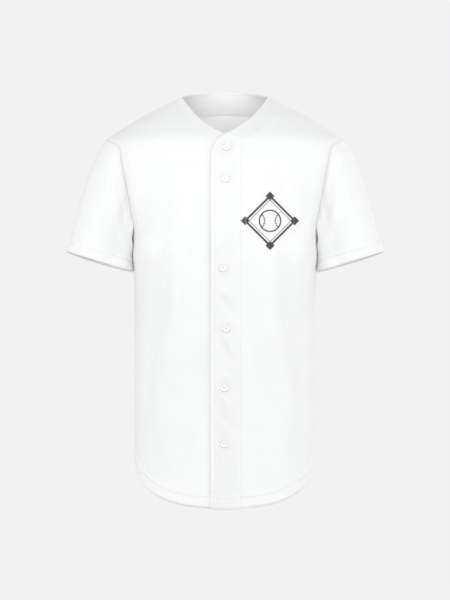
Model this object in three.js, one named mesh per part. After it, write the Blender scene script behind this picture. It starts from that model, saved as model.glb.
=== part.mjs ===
// A short-sleeved button-front baseball jersey, worn form, hollow. Millimetres, +Z up, the front faces -Y.
// Height 0 is the level of the two neck points of the shoulders, where the wearer holds the garment up.
import * as THREE from "three";

// Driving sizes
const WALL = 1.5;
const SEAM_GAP = 0.3;
const NECK_HALF = 80;
const SHOULDER_TIP = { x: 215.5, z: -76 };
const UNDERARM_Z = -261;
const HEM_CENTRE_Z = -761;
const NAPE_RISE = 10.5;

// Grid columns of the panels: along the neck and along each shoulder seam
const BACK = { neckColumns: 12, shoulderColumns: 8 };
const FRONT = { neckColumns: 11, shoulderColumns: BACK.shoulderColumns };

// Grid rows of the panels: below the underarm, and along the armhole, where the sleeve's columns follow them
const SIDE_ROWS = 20;
const ARMHOLE_ROWS = 13;

// The armhole is this much longer than it is high, and how fast the rows let go of the low and the high edge
const ARMHOLE_SLACK = 40;
const LOW_PULL = 1.5;
const HIGH_PULL = 1.4;

// The placket laps the right front and is sewn to the left front. Its columns crowd toward the folded edge.
const PLACKET = { edge: -26.3, seam: 28.5, lift: 2.4, wall: 1.5, turn: 34, slant: 10 };
const PLACKET_GRID = { edgeColumns: 5, seamColumns: 3, crowd: 2, rows: 30 };
const BUTTON_STAND = 22;
const LEFT_FRONT_LIFT = 1.9;
const LIFT_REACH = 45;
const STAND_TUCK = { depth: 1.6, from: 46, reach: 22 };
const V_BOTTOM_X = -3;

// Hem band: the turned-up cloth is a little thicker, over a small step.
// The side seams end this far above the middle.
const HEM = { band: 24, step: 1.6, rise: 0.6, side: 88 };

// Back neck facing: it hangs inside the back, as deep as this many of the back's rows,
// and ends this many columns past the neck
const FACING = { wall: 1, gap: 0.3, rows: 3, pastNeck: 2 };

// Horizontal sections of the torso: half width, depth in front of and behind the side line, and squareness
const TORSO = [
  { z: 14, half: 58, front: 12, back: 56, mid: 8, power: 2.2 },
  { z: 0, half: NECK_HALF, front: 20, back: 66, mid: 8, power: 2.2 },
  { z: -20, half: 121, front: 43, back: 79, mid: 8, power: 2.2 },
  { z: -36, half: 152, front: 64, back: 90, mid: 7, power: 2.2 },
  { z: -56, half: 184, front: 86, back: 102, mid: 6, power: 2.2 },
  { z: SHOULDER_TIP.z, half: SHOULDER_TIP.x, front: 104, back: 111, mid: 5, power: 2.2 },
  { z: -84, half: 223, front: 108, back: 114, mid: 5, power: 2.2 },
  { z: -95, half: 226, front: 112, back: 117, mid: 4, power: 2.2 },
  { z: -120, half: 222, front: 120, back: 122, mid: 3, power: 2.25 },
  { z: -165, half: 206, front: 130, back: 127, mid: 2, power: 2.4 },
  { z: -215, half: 187, front: 135, back: 128, mid: 1, power: 2.5 },
  { z: UNDERARM_Z, half: 173, front: 136, back: 127, mid: 0, power: 2.9 },
  { z: -298, half: 171, front: 134.3, back: 124.2, mid: 0, power: 3.7 },
  { z: -322, half: 168.3, front: 133, back: 122, mid: 0, power: 3.5 },
  { z: -420, half: 167, front: 127, back: 118, mid: 0, power: 2.6 },
  { z: -560, half: 167, front: 123, back: 118, mid: 0, power: 2.3 },
  { z: -680, half: 167, front: 123, back: 120, mid: 0, power: 2.3 },
  { z: -780, half: 165, front: 124, back: 121, mid: 0, power: 2.3 },
];

// Front neckline, from under the placket to the neck point, by distance from the centre
const NECKLINE = [
  { x: -24, z: -80 },
  { x: 0, z: -70 },
  { x: 22, z: -58 },
  { x: 46, z: -41.5 },
  { x: 65, z: -20.4 },
  { x: 74, z: -9 },
  { x: NECK_HALF, z: 0 },
];

// Armhole between the shoulder tip and the underarm: how far out it lies on the front and on the back
const ARMHOLE = [
  { z: -84, front: 208, back: 210 },
  { z: -94, front: 196, back: 203 },
  { z: -122, front: 190, back: 197 },
  { z: -163, front: 182, back: 189 },
  { z: -215, front: 173, back: 177 },
  { z: -246, front: 168.5, back: 169.5 },
];

// Rise of the shirt-tail hem above its lowest point, by the angle round from the centre
const HEM_RISE = [
  { turn: 0, rise: 0 },
  { turn: 18, rise: 4 },
  { turn: 30, rise: 9 },
  { turn: 45, rise: 22 },
  { turn: 60, rise: 41 },
  { turn: 74, rise: 64 },
  { turn: 82, rise: 79 },
  { turn: 87, rise: 87 },
  { turn: 90, rise: HEM.side },
];

// Sleeve: its hem is an ellipse square to the hanging direction, squarer on the inner side by innerPower,
// and it drops at the back. Its lines leave the armhole outward and down and arrive along the hang, by
// these slopes and shares at the top and under the arm. Its rows crowd toward the armhole.
const SLEEVE = {
  hemX: 231.6, hemZ: -303.8, hemHalf: 64, hemDepth: 60, innerPower: 5, backDrop: 4.5, tilt: 16.5,
  slopeTop: 0.84, slopeUnder: 2.5, leave: 0.6, arriveTop: 0.9, arriveUnder: 0.3, bulge: 0.5,
  rows: 10, crowd: 1.25,
};
const SEAM_SQUARE = 0.7;

// Folds: a trough has a negative depth. Its middle runs down the panel from the height top to the height
// low, and x1 to x4 are its distances from the centre at even steps from the top to the low end.
const FOLDS = [
  { on: "front_right", depth: -6, width: 13, top: -285, low: -600, x1: 114, x2: 120, x3: 140, x4: 160 },
  { on: "front_left", depth: -6, width: 13, top: -300, low: -600, x1: 113, x2: 119, x3: 138, x4: 158 },
  { on: "front_right", depth: 3.5, width: 13, top: -300, low: -590, x1: 88, x2: 92, x3: 107, x4: 126 },
  { on: "front_left", depth: 3.5, width: 13, top: -310, low: -600, x1: 87, x2: 94, x3: 109, x4: 128 },
  { on: "front_right", depth: 3, width: 9, top: -108, low: -262, x1: 176, x2: 170, x3: 164, x4: 156 },
  { on: "front_left", depth: 3, width: 9, top: -108, low: -262, x1: 176, x2: 170, x3: 164, x4: 156 },
  { on: "front_right", depth: -3, width: 16, top: -520, low: -730, x1: 60, x2: 66, x3: 70, x4: 72 },
  { on: "front_left", depth: -3, width: 17, top: -500, low: -720, x1: 76, x2: 80, x3: 85, x4: 90 },
  { on: "back_right", depth: -6, width: 15, top: -290, low: -610, x1: 112, x2: 111, x3: 125, x4: 152 },
  { on: "back_left", depth: -6, width: 14, top: -275, low: -600, x1: 110, x2: 115, x3: 132, x4: 156 },
  { on: "back_right", depth: 4, width: 15, top: -310, low: -610, x1: 82, x2: 83, x3: 97, x4: 118 },
  { on: "back_left", depth: 4, width: 14, top: -300, low: -600, x1: 84, x2: 87, x3: 100, x4: 120 },
  { on: "back_right", depth: -4, width: 20, top: -420, low: -730, x1: 34, x2: 30, x3: 36, x4: 40 },
  { on: "back_left", depth: -4, width: 18, top: -380, low: -710, x1: 40, x2: 44, x3: 40, x4: 46 },
  { on: "back_right", depth: 3, width: 10, top: -112, low: -265, x1: 184, x2: 178, x3: 169, x4: 158 },
  { on: "back_left", depth: 3, width: 10, top: -112, low: -265, x1: 184, x2: 178, x3: 169, x4: 158 },
];
const FOLD_FADE = 46;
const SIDE_FADE = 34;

// Sleeve folds run down the sleeve: a place round it, in degrees from its outer side by way of the front
const SLEEVE_FOLDS = [
  { turn: 112, depth: -3.2, width: 12, from: 0.1 },
  { turn: 62, depth: 2.5, width: 16, from: 0.2 },
  { turn: 242, depth: -4.5, width: 10, from: 0.1 },
  { turn: 300, depth: -2.5, width: 14, from: 0.25 },
];
const SLEEVE_FOLD_END = { at: 1.2, reach: 0.3 };

// Buttons down the placket
const BUTTON = {
  radius: 7, height: 2.8, foot: 1, waist: 0.35, bevel: 0.5, rim: 1.9, slope: 1, dish: 0.9, seat: 0.3,
  sides: 16,
};
const BUTTONS = [
  { x: 3, z: -95.5 },
  { x: 0, z: -153.5 },
  { x: -3.5, z: -316 },
  { x: 2, z: -427.5 },
  { x: -1, z: -537 },
  { x: -1, z: -640 },
];

// Colours
const CLOTH = { color: 0xf7f7f6, roughness: 0.85, metalness: 0 };
const PLASTIC = { color: 0xf4f4f1, roughness: 0.35, metalness: 0 };

// A smooth curve through a table's rows that never overshoots them
function smooth(rows, from, to) {
  const p = rows.map((r) => [r[from], r[to]]).sort((a, b) => a[0] - b[0]);
  const step = p.slice(1).map((q, i) => (q[1] - p[i][1]) / (q[0] - p[i][0]));
  const slope = p.map((_, i) => {
    const before = step[Math.max(i - 1, 0)];
    const after = step[Math.min(i, step.length - 1)];
    return before * after <= 0 ? 0 : (2 * before * after) / (before + after);
  });
  return (t) => {
    const last = p.length - 2;
    let i = p.findIndex((q) => q[0] > t) - 1;
    if (t <= p[0][0]) i = 0;
    if (i < 0) i = last;
    const width = p[i + 1][0] - p[i][0];
    const s = THREE.MathUtils.clamp((t - p[i][0]) / width, 0, 1);
    const rest = 1 - s;
    return p[i][1] * (1 + 2 * s) * rest * rest + p[i + 1][1] * (3 - 2 * s) * s * s
      + width * (slope[i] * s * rest * rest - slope[i + 1] * s * s * rest);
  };
}

const half = smooth(TORSO, "z", "half");
const frontDepth = smooth(TORSO, "z", "front");
const backDepth = smooth(TORSO, "z", "back");
const mid = smooth(TORSO, "z", "mid");
const power = smooth(TORSO, "z", "power");
const hemRise = smooth(HEM_RISE, "turn", "rise");
const neckline = smooth(NECKLINE, "x", "z");

const lerp = THREE.MathUtils.lerp;
const ease = (t) => THREE.MathUtils.smoothstep(t, 0, 1);
const spaced = (n) => Array.from({ length: n + 1 }, (_, i) => i / n);

// A place on the torso is g, the girth from the centre out to the side (where g equals the half width), and z
function torso(side, g, z) {
  const turn = (Math.PI / 2) * (g / half(z));
  const n = power(z);
  const round = (Math.abs(Math.sin(turn)) ** n + Math.abs(Math.cos(turn)) ** n) ** (1 / n);
  const depth = side === "front" ? -frontDepth(z) : backDepth(z);
  return new THREE.Vector3(half(z) * Math.sin(turn) / round, mid(z) + depth * Math.cos(turn) / round, z);
}

// The girth at a distance x from the centre, seen from the front or the back
function girth(x, z) {
  const t = Math.min(Math.abs(x) / half(z), 1);
  const n = power(z);
  return Math.sign(x) * half(z) * Math.atan2(t, (1 - t ** n) ** (1 / n)) / (Math.PI / 2);
}

function torsoNormal(side, g, z) {
  const step = 0.5;
  const across = torso(side, g + step, z).sub(torso(side, g - step, z));
  const up = torso(side, g, z + step).sub(torso(side, g, z - step));
  const normal = across.cross(up).normalize();
  return side === "front" ? normal : normal.negate();
}

const foldPaths = FOLDS.map((f) => {
  const rows = [f.x1, f.x2, f.x3, f.x4].map((x, i) => ({ x, z: lerp(f.top, f.low, i / 3) }));
  return { ...f, x: smooth(rows, "z", "x") };
});

// How far the cloth stands off the plain torso, on a panel with x measured outward from the centre
function foldHeight(panel, x, z) {
  const nearSide = ease((half(z) - x) / SIDE_FADE);
  let height = 0;
  for (const f of foldPaths) {
    if (f.on !== panel) continue;
    const fade = ease((f.top + FOLD_FADE - z) / FOLD_FADE) * ease((z - f.low + FOLD_FADE) / FOLD_FADE);
    height += f.depth * fade * Math.exp(-(((x - f.x(z)) / f.width) ** 2));
  }
  return height * nearSide;
}

// A point of the cloth's outer face, with g measured toward the side that hand names: 1 is the wearer's left
function skin(side, hand, g, z, lift = 0) {
  const p = torso(side, g, z);
  const panel = `${side}_${hand * g >= 0 ? "left" : "right"}`;
  return p.addScaledVector(torsoNormal(side, g, z), foldHeight(panel, Math.abs(p.x), z) + lift);
}

// A boundary is walked at an even pace
function paced(walk) {
  const points = spaced(80).map(walk);
  const length = [0];
  for (let i = 1; i < points.length; i++) {
    length.push(length[i - 1] + Math.hypot(points[i].g - points[i - 1].g, points[i].z - points[i - 1].z));
  }
  const whole = length[length.length - 1];
  return (t) => {
    const at = t * whole;
    let i = length.findIndex((l) => l >= at);
    i = Math.max(i, 1);
    const s = (at - length[i - 1]) / (length[i] - length[i - 1]);
    return { g: lerp(points[i - 1].g, points[i].g, s), z: lerp(points[i - 1].z, points[i].z, s) };
  };
}

// Seam and edge lines, each from a share t of 0 to 1
function armhole(side) {
  const rows = [
    { z: UNDERARM_Z, out: half(UNDERARM_Z) },
    ...ARMHOLE.map((r) => ({ z: r.z, out: r[side] })),
    { z: SHOULDER_TIP.z, out: SHOULDER_TIP.x },
  ].sort((a, b) => a.z - b.z);
  const spline = new THREE.SplineCurve(rows.map((r) => new THREE.Vector2(girth(r.out, r.z), r.z)));
  return paced((t) => {
    const p = spline.getPoint(t);
    return { g: Math.min(p.x, half(p.y)), z: p.y };
  });
}
const armholes = { front: armhole("front"), back: armhole("back") };

function sideSeam(t) {
  const z = lerp(HEM_CENTRE_Z + HEM.side, UNDERARM_Z, t);
  return { g: half(z), z };
}

function hemLine(g) {
  const turn = 90 * Math.min(Math.abs(g) / half(HEM_CENTRE_Z), 1);
  return HEM_CENTRE_Z + hemRise(turn);
}

const shoulderSeam = paced((t) => {
  const z = lerp(0, SHOULDER_TIP.z, t);
  return { g: half(z), z };
});

const seamLength = UNDERARM_Z - HEM_CENTRE_Z - HEM.side;
const underarmShare = seamLength / (SHOULDER_TIP.z - HEM_CENTRE_Z - HEM.side + ARMHOLE_SLACK);

function outerEdge(side) {
  return (t) => (t <= underarmShare
    ? sideSeam(t / underarmShare)
    : armholes[side]((t - underarmShare) / (1 - underarmShare)));
}

// A grid of places between four edges: straight rows from side to side, which bend to the low and high edges
function patch({ left, right, low, high }, acrossShares, upShares) {
  return upShares.map((v) => {
    const lowPull = Math.max(0, 1 - v / underarmShare) ** LOW_PULL;
    const highPull = Math.max(0, (v - underarmShare) / (1 - underarmShare)) ** HIGH_PULL;
    return acrossShares.map((u) => {
      const place = {};
      for (const k of ["g", "z"]) {
        place[k] = lerp(left(v)[k], right(v)[k], u)
          + lowPull * (low(u)[k] - lerp(low(0)[k], low(1)[k], u))
          + highPull * (high(u)[k] - lerp(high(0)[k], high(1)[k], u));
      }
      return place;
    });
  });
}

// Draws the ends of a grid back from its edges, so that sewn pieces stay clear of each other
function drawnBack(grid, gap, closed) {
  const pull = (p, q) => p.clone().addScaledVector(q.clone().sub(p).normalize(), gap);
  const rows = grid.map((row) => row.map((p) => p.clone()));
  const last = grid.length - 1;
  const end = grid[0].length - 1;
  rows[0] = grid[0].map((p, j) => pull(p, grid[1][j]));
  rows[last] = grid[last].map((p, j) => pull(p, grid[last - 1][j]));
  if (!closed) {
    for (const row of rows) {
      row[0] = pull(row[0], row[1]);
      row[end] = pull(row[end], row[end - 1]);
    }
  }
  return rows;
}

// Outward normals of a grid of outer points
function gridNormals(grid, closed, inside) {
  const rows = grid.length;
  const cols = grid[0].length;
  const col = (j) => (closed ? (j + cols) % cols : THREE.MathUtils.clamp(j, 0, cols - 1));
  const row = (i) => THREE.MathUtils.clamp(i, 0, rows - 1);
  let facing = 0;
  const normals = grid.map((line, i) => line.map((p, j) => {
    const across = grid[i][col(j + 1)].clone().sub(grid[i][col(j - 1)]);
    const up = grid[row(i + 1)][j].clone().sub(grid[row(i - 1)][j]);
    const n = across.cross(up).normalize();
    facing += n.dot(p.clone().sub(inside(p, i)));
    return n;
  }));
  if (facing < 0) normals.forEach((line) => line.forEach((n) => n.negate()));
  return { normals, flipped: facing < 0 };
}

// A closed wall: the grid is its outer face, and its inner face lies one thickness in along the normals
function wall(grid, { normals, flipped }, { thick = WALL, closed = false } = {}) {
  const rows = grid.length;
  const cols = grid[0].length;
  const positions = [];
  for (const inner of [false, true]) {
    grid.forEach((line, i) => line.forEach((p, j) => {
      const q = inner ? p.clone().addScaledVector(normals[i][j], -thick) : p;
      positions.push(q.x, q.y, q.z);
    }));
  }
  const index = [];
  const id = (inner, i, j) => (inner ? rows * cols : 0) + i * cols + (j % cols);
  const quad = (a, b, c, d) => (flipped ? index.push(a, c, b, a, d, c) : index.push(a, b, c, a, c, d));
  const spans = closed ? cols : cols - 1;
  for (let i = 0; i < rows - 1; i++) {
    for (let j = 0; j < spans; j++) {
      quad(id(false, i, j), id(false, i, j + 1), id(false, i + 1, j + 1), id(false, i + 1, j));
      quad(id(true, i, j), id(true, i + 1, j), id(true, i + 1, j + 1), id(true, i, j + 1));
    }
  }
  const top = rows - 1;
  for (let j = 0; j < spans; j++) {
    quad(id(true, 0, j), id(true, 0, j + 1), id(false, 0, j + 1), id(false, 0, j));
    quad(id(false, top, j), id(false, top, j + 1), id(true, top, j + 1), id(true, top, j));
  }
  if (!closed) {
    const end = cols - 1;
    for (let i = 0; i < top; i++) {
      quad(id(false, i, 0), id(false, i + 1, 0), id(true, i + 1, 0), id(true, i, 0));
      quad(id(true, i, end), id(true, i + 1, end), id(false, i + 1, end), id(false, i, end));
    }
  }
  const geometry = new THREE.BufferGeometry();
  geometry.setAttribute("position", new THREE.Float32BufferAttribute(positions, 3));
  geometry.setIndex(index);
  geometry.computeVertexNormals();
  return geometry;
}

const jersey = new THREE.Group();
jersey.name = "baseball_jersey";

function add(name, geometry, look) {
  const mesh = new THREE.Mesh(geometry, new THREE.MeshStandardMaterial(look));
  mesh.name = name;
  jersey.add(mesh);
  return mesh;
}

// A panel of the torso from its grid of places. Hand is 1 on the wearer's left and across the middle.
function panel(side, hand, places, { thick = WALL, lift }) {
  const grid = places.map((line, i) => line.map(({ g, z }) => skin(side, hand, g, z, lift(g, z, i))));
  const normals = places.map((line) => line.map(({ g, z }) => torsoNormal(side, g, z)));
  if (hand < 0) [...grid, ...normals].forEach((line) => line.forEach((p) => { p.x *= -1; }));
  const flipped = (side === "back") !== (hand < 0);
  return wall(drawnBack(grid, SEAM_GAP / 2, false), { normals, flipped }, { thick });
}

// Rows up a panel: the hem band first, then even steps to the underarm and on to the shoulder
function panelRows() {
  const length = UNDERARM_Z - HEM_CENTRE_Z;
  const first = (HEM.band + HEM.step) / length;
  const rows = [0, HEM.band / length, ...spaced(SIDE_ROWS).map((t) => lerp(first, 1, t))];
  const low = rows.map((r) => r * underarmShare);
  return [...low, ...spaced(ARMHOLE_ROWS).slice(1).map((t) => lerp(underarmShare, 1, t))];
}

// The hem band stands out a little, on the first two rows
const hemLift = (row) => (row < 2 ? HEM.rise : 0);

// A front, with hand 1 on the wearer's left. It starts at a distance from the centre line.
function frontPanel(hand, start, lift) {
  const neck = paced((t) => {
    const x = lerp(start, NECK_HALF, t);
    const z = neckline(x);
    return { g: girth(x, z), z };
  });
  const columns = FRONT.neckColumns + FRONT.shoulderColumns;
  const neckShare = FRONT.neckColumns / columns;
  const high = (u) => (u <= neckShare
    ? neck(u / neckShare)
    : shoulderSeam((u - neckShare) / (1 - neckShare)));
  const top = high(0).z;
  const foot = girth(start, HEM_CENTRE_Z);
  const places = patch({
    left: (v) => {
      const z = v <= underarmShare
        ? lerp(hemLine(foot), UNDERARM_Z, v / underarmShare)
        : lerp(UNDERARM_Z, top, (v - underarmShare) / (1 - underarmShare));
      return { g: girth(start, z), z };
    },
    right: outerEdge("front"),
    low: (u) => {
      const g = lerp(foot, half(HEM_CENTRE_Z + HEM.side), u);
      return { g, z: hemLine(g) };
    },
    high,
  }, spaced(columns), panelRows());
  return panel("front", hand, places, { lift: (g, z, row) => lift(torso("front", g, z).x) + hemLift(row) });
}

function backPlaces() {
  const columns = BACK.neckColumns + 2 * BACK.shoulderColumns;
  const share = BACK.shoulderColumns / columns;
  const nape = (t) => {
    const turn = lerp(-1, 1, t);
    const z = NAPE_RISE * Math.cos(turn * Math.PI / 2);
    return { g: turn * half(z), z };
  };
  const mirrored = (p) => ({ g: -p.g, z: p.z });
  const edge = outerEdge("back");
  return patch({
    left: (v) => mirrored(edge(v)),
    right: edge,
    low: (u) => {
      const g = lerp(-1, 1, u) * half(HEM_CENTRE_Z + HEM.side);
      return { g, z: hemLine(g) };
    },
    high: (u) => {
      if (u < share) return mirrored(shoulderSeam(1 - u / share));
      if (u > 1 - share) return shoulderSeam((u - 1 + share) / share);
      return nape((u - share) / (1 - 2 * share));
    },
  }, spaced(columns), panelRows());
}

function backPanel() {
  return panel("back", 1, backPlaces(), { lift: (g, z, row) => hemLift(row) });
}

// The placket band, from its folded edge to its seam, with a rounded top corner
function placketPanel() {
  const corner = { x: V_BOTTOM_X, z: neckline(V_BOTTOM_X) };
  const topAt = (x) => {
    if (x >= corner.x) return neckline(x);
    const s = (corner.x - x) / (corner.x - PLACKET.edge);
    return corner.z - PLACKET.turn * (1 - Math.sqrt(1 - Math.min(s, 1) ** 2)) - PLACKET.slant * s;
  };
  const { edgeColumns, seamColumns, crowd, rows } = PLACKET_GRID;
  const across = [
    ...spaced(edgeColumns).map((t) => lerp(PLACKET.edge, corner.x, t ** crowd)),
    ...spaced(seamColumns).slice(1).map((t) => lerp(corner.x, PLACKET.seam, t)),
  ];
  const length = corner.z - HEM_CENTRE_Z;
  const up = [0, HEM.band / length, (HEM.band + HEM.step) / length, ...spaced(rows).slice(2)];
  const places = up.map((v) => across.map((x) => {
    const z = lerp(hemLine(girth(x, HEM_CENTRE_Z)), topAt(x), v);
    return { g: girth(x, z), z };
  }));
  return panel("front", 1, places, { thick: PLACKET.wall, lift: (g, z, row) => PLACKET.lift + hemLift(row) });
}

// The facing lies inside the back, along the neck, and is made from the back's own places
function facingPanel() {
  const first = BACK.shoulderColumns - FACING.pastNeck;
  const places = backPlaces().slice(-1 - FACING.rows).map((line) => line.slice(first, line.length - first));
  return panel("back", 1, places, { thick: FACING.wall, lift: () => -(WALL + FACING.gap) });
}

// A sleeve: each line down it leaves the armhole outward and arrives along the hanging direction
function sleeve(hand) {
  const tilt = THREE.MathUtils.degToRad(SLEEVE.tilt);
  const outward = new THREE.Vector3(Math.cos(tilt), 0, Math.sin(tilt));
  const hang = new THREE.Vector3(Math.sin(tilt), 0, -Math.cos(tilt));
  const hemMiddle = new THREE.Vector3(SLEEVE.hemX, 0, SLEEVE.hemZ);
  const columns = 2 * ARMHOLE_ROWS;
  const downShares = spaced(SLEEVE.rows).map((t) => t ** SLEEVE.crowd);
  const seamNormals = [];
  const lines = Array.from({ length: columns }, (_, k) => {
    const turn = (k / columns) * 360;
    const angle = THREE.MathUtils.degToRad(turn);
    const side = turn <= 180 ? "front" : "back";
    const share = turn <= 180 ? 1 - turn / 180 : (turn - 180) / 180;
    const { g, z } = armholes[side](share);
    seamNormals.push(torsoNormal(side, g, z));
    const start = skin(side, hand, g, z);
    const n = Math.cos(angle) < 0 ? SLEEVE.innerPower : 2;
    const size = (Math.abs(Math.cos(angle)) ** n + Math.abs(Math.sin(angle)) ** n) ** (-1 / n);
    const end = hemMiddle.clone()
      .addScaledVector(outward, SLEEVE.hemHalf * size * Math.cos(angle))
      .addScaledVector(new THREE.Vector3(0, -1, 0), SLEEVE.hemDepth * size * Math.sin(angle))
      .addScaledVector(hang, SLEEVE.backDrop * Math.max(0, -Math.sin(angle)));
    const reach = start.distanceTo(end);
    const topness = (1 + Math.cos(angle)) / 2;
    const slope = lerp(SLEEVE.slopeUnder, SLEEVE.slopeTop, topness);
    const leave = new THREE.Vector3(1, -SLEEVE.bulge * Math.sin(angle), -slope).normalize()
      .multiplyScalar(SLEEVE.leave * reach);
    const arrive = hang.clone().multiplyScalar(lerp(SLEEVE.arriveUnder, SLEEVE.arriveTop, topness) * reach);
    return downShares.map((s) => {
      const rest = 1 - s;
      return start.clone().multiplyScalar((1 + 2 * s) * rest * rest)
        .addScaledVector(end, (3 - 2 * s) * s * s)
        .addScaledVector(leave, s * rest * rest)
        .addScaledVector(arrive, -s * s * rest);
    });
  });
  const plain = downShares.map((_, i) => lines.map((line) => line[i]));
  const middle = plain.map((ring) => ring.reduce((sum, p) => sum.add(p), new THREE.Vector3())
    .multiplyScalar(1 / columns));
  const inside = (_, i) => middle[i];
  const { normals } = gridNormals(plain, true, inside);
  const folded = plain.map((ring, i) => ring.map((p, k) => {
    const turn = (k / columns) * 360;
    let height = 0;
    for (const f of SLEEVE_FOLDS) {
      const away = ((turn - f.turn + 540) % 360) - 180;
      const low = ease((SLEEVE_FOLD_END.at - downShares[i]) / SLEEVE_FOLD_END.reach);
      const fade = ease(downShares[i] / f.from) * low;
      height += f.depth * fade * Math.exp(-((away / f.width) ** 2));
    }
    return p.clone().addScaledVector(normals[i][k], height);
  }));
  const shape = gridNormals(folded, true, inside);
  // The seam edge stands square to the torso near the shoulder tip, so that the two walls meet evenly there
  shape.normals[0].forEach((n, k) => {
    const toward = ease(SEAM_SQUARE + Math.cos((k / columns) * 2 * Math.PI));
    n.lerp(seamNormals[k], toward).normalize();
  });
  const grid = drawnBack(folded, SEAM_GAP, true);
  if (hand < 0) [...grid, ...shape.normals].forEach((ring) => ring.forEach((p) => { p.x *= -1; }));
  return wall(grid, { normals: shape.normals, flipped: shape.flipped !== (hand < 0) }, { closed: true });
}

// A button lies on the placket, square to the cloth
function button(name, { x, z }) {
  const { radius, height, foot, waist, bevel, rim, slope, dish, seat, sides } = BUTTON;
  const profile = [
    [0, 0], [radius - foot, 0], [radius, height * waist], [radius - bevel, height], [radius - rim, height],
    [radius - rim - slope, height - dish], [0, height - dish],
  ].map(([r, h]) => new THREE.Vector2(r, h));
  const geometry = new THREE.LatheGeometry(profile, sides);
  const mesh = add(name, geometry, PLASTIC);
  const g = girth(x, z);
  const out = torsoNormal("front", g, z);
  mesh.position.copy(skin("front", 1, g, z, PLACKET.lift + seat));
  mesh.quaternion.setFromUnitVectors(new THREE.Vector3(0, 1, 0), out);
  return mesh;
}

const tucked = (x) => -STAND_TUCK.depth * ease((STAND_TUCK.from - x) / STAND_TUCK.reach);
const raised = (x) => LEFT_FRONT_LIFT * ease((PLACKET.seam + LIFT_REACH - x) / LIFT_REACH);

add("back", backPanel(), CLOTH);
add("front_right", frontPanel(-1, -BUTTON_STAND, tucked), CLOTH);
add("front_left", frontPanel(1, PLACKET.seam, raised), CLOTH);
add("placket", placketPanel(), CLOTH);
add("sleeve_right", sleeve(-1), CLOTH);
add("sleeve_left", sleeve(1), CLOTH);
add("back_neck_facing", facingPanel(), CLOTH);
BUTTONS.forEach((place, i) => button(`button_${i + 1}`, place));

export default jersey;
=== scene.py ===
"""Looks of the baseball jersey: cloth shells with folds, seams and hems, stitches, buttons, cloth and light.

Shapes are worked out in millimetres in the part's own frame (+Z up, the front faces -Y) and scaled to metres
when they become meshes. A place on the torso is (g, z): g is the girth from the centre out to the side, where
it equals the half width, and z the height.
"""
import math

import bpy
import numpy as np
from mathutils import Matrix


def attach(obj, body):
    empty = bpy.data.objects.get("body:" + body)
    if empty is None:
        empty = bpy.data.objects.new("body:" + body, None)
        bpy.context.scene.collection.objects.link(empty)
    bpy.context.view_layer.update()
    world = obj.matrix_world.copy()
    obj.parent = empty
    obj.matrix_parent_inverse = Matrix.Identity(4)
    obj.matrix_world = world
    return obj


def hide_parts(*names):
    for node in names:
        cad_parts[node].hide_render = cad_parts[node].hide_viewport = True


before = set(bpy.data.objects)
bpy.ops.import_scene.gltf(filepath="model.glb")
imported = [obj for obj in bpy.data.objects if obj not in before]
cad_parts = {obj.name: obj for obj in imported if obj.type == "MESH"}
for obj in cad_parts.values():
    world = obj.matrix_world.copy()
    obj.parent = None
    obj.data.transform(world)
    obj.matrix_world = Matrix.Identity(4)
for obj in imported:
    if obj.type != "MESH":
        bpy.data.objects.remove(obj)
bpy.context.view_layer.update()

MM = 0.001


def table(columns, *rows):
    """Rows with named columns."""
    names = columns.split()
    return [dict(zip(names, row)) for row in rows]


# Driving sizes, the same as the solids'
NECK_HALF = 80
TIP_X, TIP_Z = 215.5, -76
UNDERARM_Z = -261
HEM_Z = -761
HEM_SIDE = 88
NAPE_RISE = 10.5
CLOTH = 1.1
PLACKET_EDGE, PLACKET_SEAM, PLACKET_LIFT, PLACKET_WALL = -26.3, 28.5, 2.4, 1.4
PLACKET_TURN, PLACKET_SLANT, PLACKET_LENGTH = 34, 10, 700
V_BOTTOM_X = -3
BUTTON_STAND = 22
LEFT_LIFT, LEFT_REACH = 1.9, 45
TUCK, TUCK_FROM, TUCK_REACH = 0.4, 46, 22
HEM_BAND = 24.5
HEM_ROLL = {"body": (4.2, 4.2), "cuff": (2.4, 1.2)}
FACING = {"wall": 0.8, "gap": 0.75, "rise": 1.1, "rise_from": 0.96, "from_u": 6 / 8, "from_v": 10 / 13}

# Stitching: how far in from an edge or a seam each row lies
HEM_FIRST, NECK_STITCH, PLACKET_STITCH, SEAM_STITCH, SECOND_SEAM_STITCH = 19, 5.4, 5.5, 1.8, 9.5

# Horizontal sections of the torso: half width, depth in front of and behind the side line, and squareness
TORSO = table(
    "z half front back mid power",
    (14, 58, 12, 56, 8, 2.2),
    (0, NECK_HALF, 20, 66, 8, 2.2),
    (-20, 121, 43, 79, 8, 2.2),
    (-36, 152, 64, 90, 7, 2.2),
    (-56, 184, 86, 102, 6, 2.2),
    (TIP_Z, TIP_X, 104, 111, 5, 2.2),
    (-84, 223, 108, 114, 5, 2.2),
    (-95, 226, 112, 117, 4, 2.2),
    (-120, 222, 120, 122, 3, 2.25),
    (-165, 206, 130, 127, 2, 2.4),
    (-215, 187, 135, 128, 1, 2.5),
    (UNDERARM_Z, 173, 136, 127, 0, 2.9),
    (-298, 171, 134.3, 124.2, 0, 3.7),
    (-322, 168.3, 133, 122, 0, 3.5),
    (-420, 167, 127, 118, 0, 2.6),
    (-560, 167, 123, 118, 0, 2.3),
    (-680, 167, 123, 120, 0, 2.3),
    (-780, 165, 124, 121, 0, 2.3),
)

NECKLINE = table("x z", (-24, -80), (0, -70), (22, -58), (46, -41.5), (65, -20.4), (74, -9), (NECK_HALF, 0))

ARMHOLE = table(
    "z front back",
    (-84, 208, 210),
    (-94, 196, 203),
    (-122, 190, 197),
    (-163, 182, 189),
    (-215, 173, 177),
    (-246, 168.5, 169.5),
)

HEM_RISE = table(
    "turn rise", (0, 0), (18, 4), (30, 9), (45, 22), (60, 41), (74, 64), (82, 79), (87, 87), (90, HEM_SIDE)
)

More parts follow.
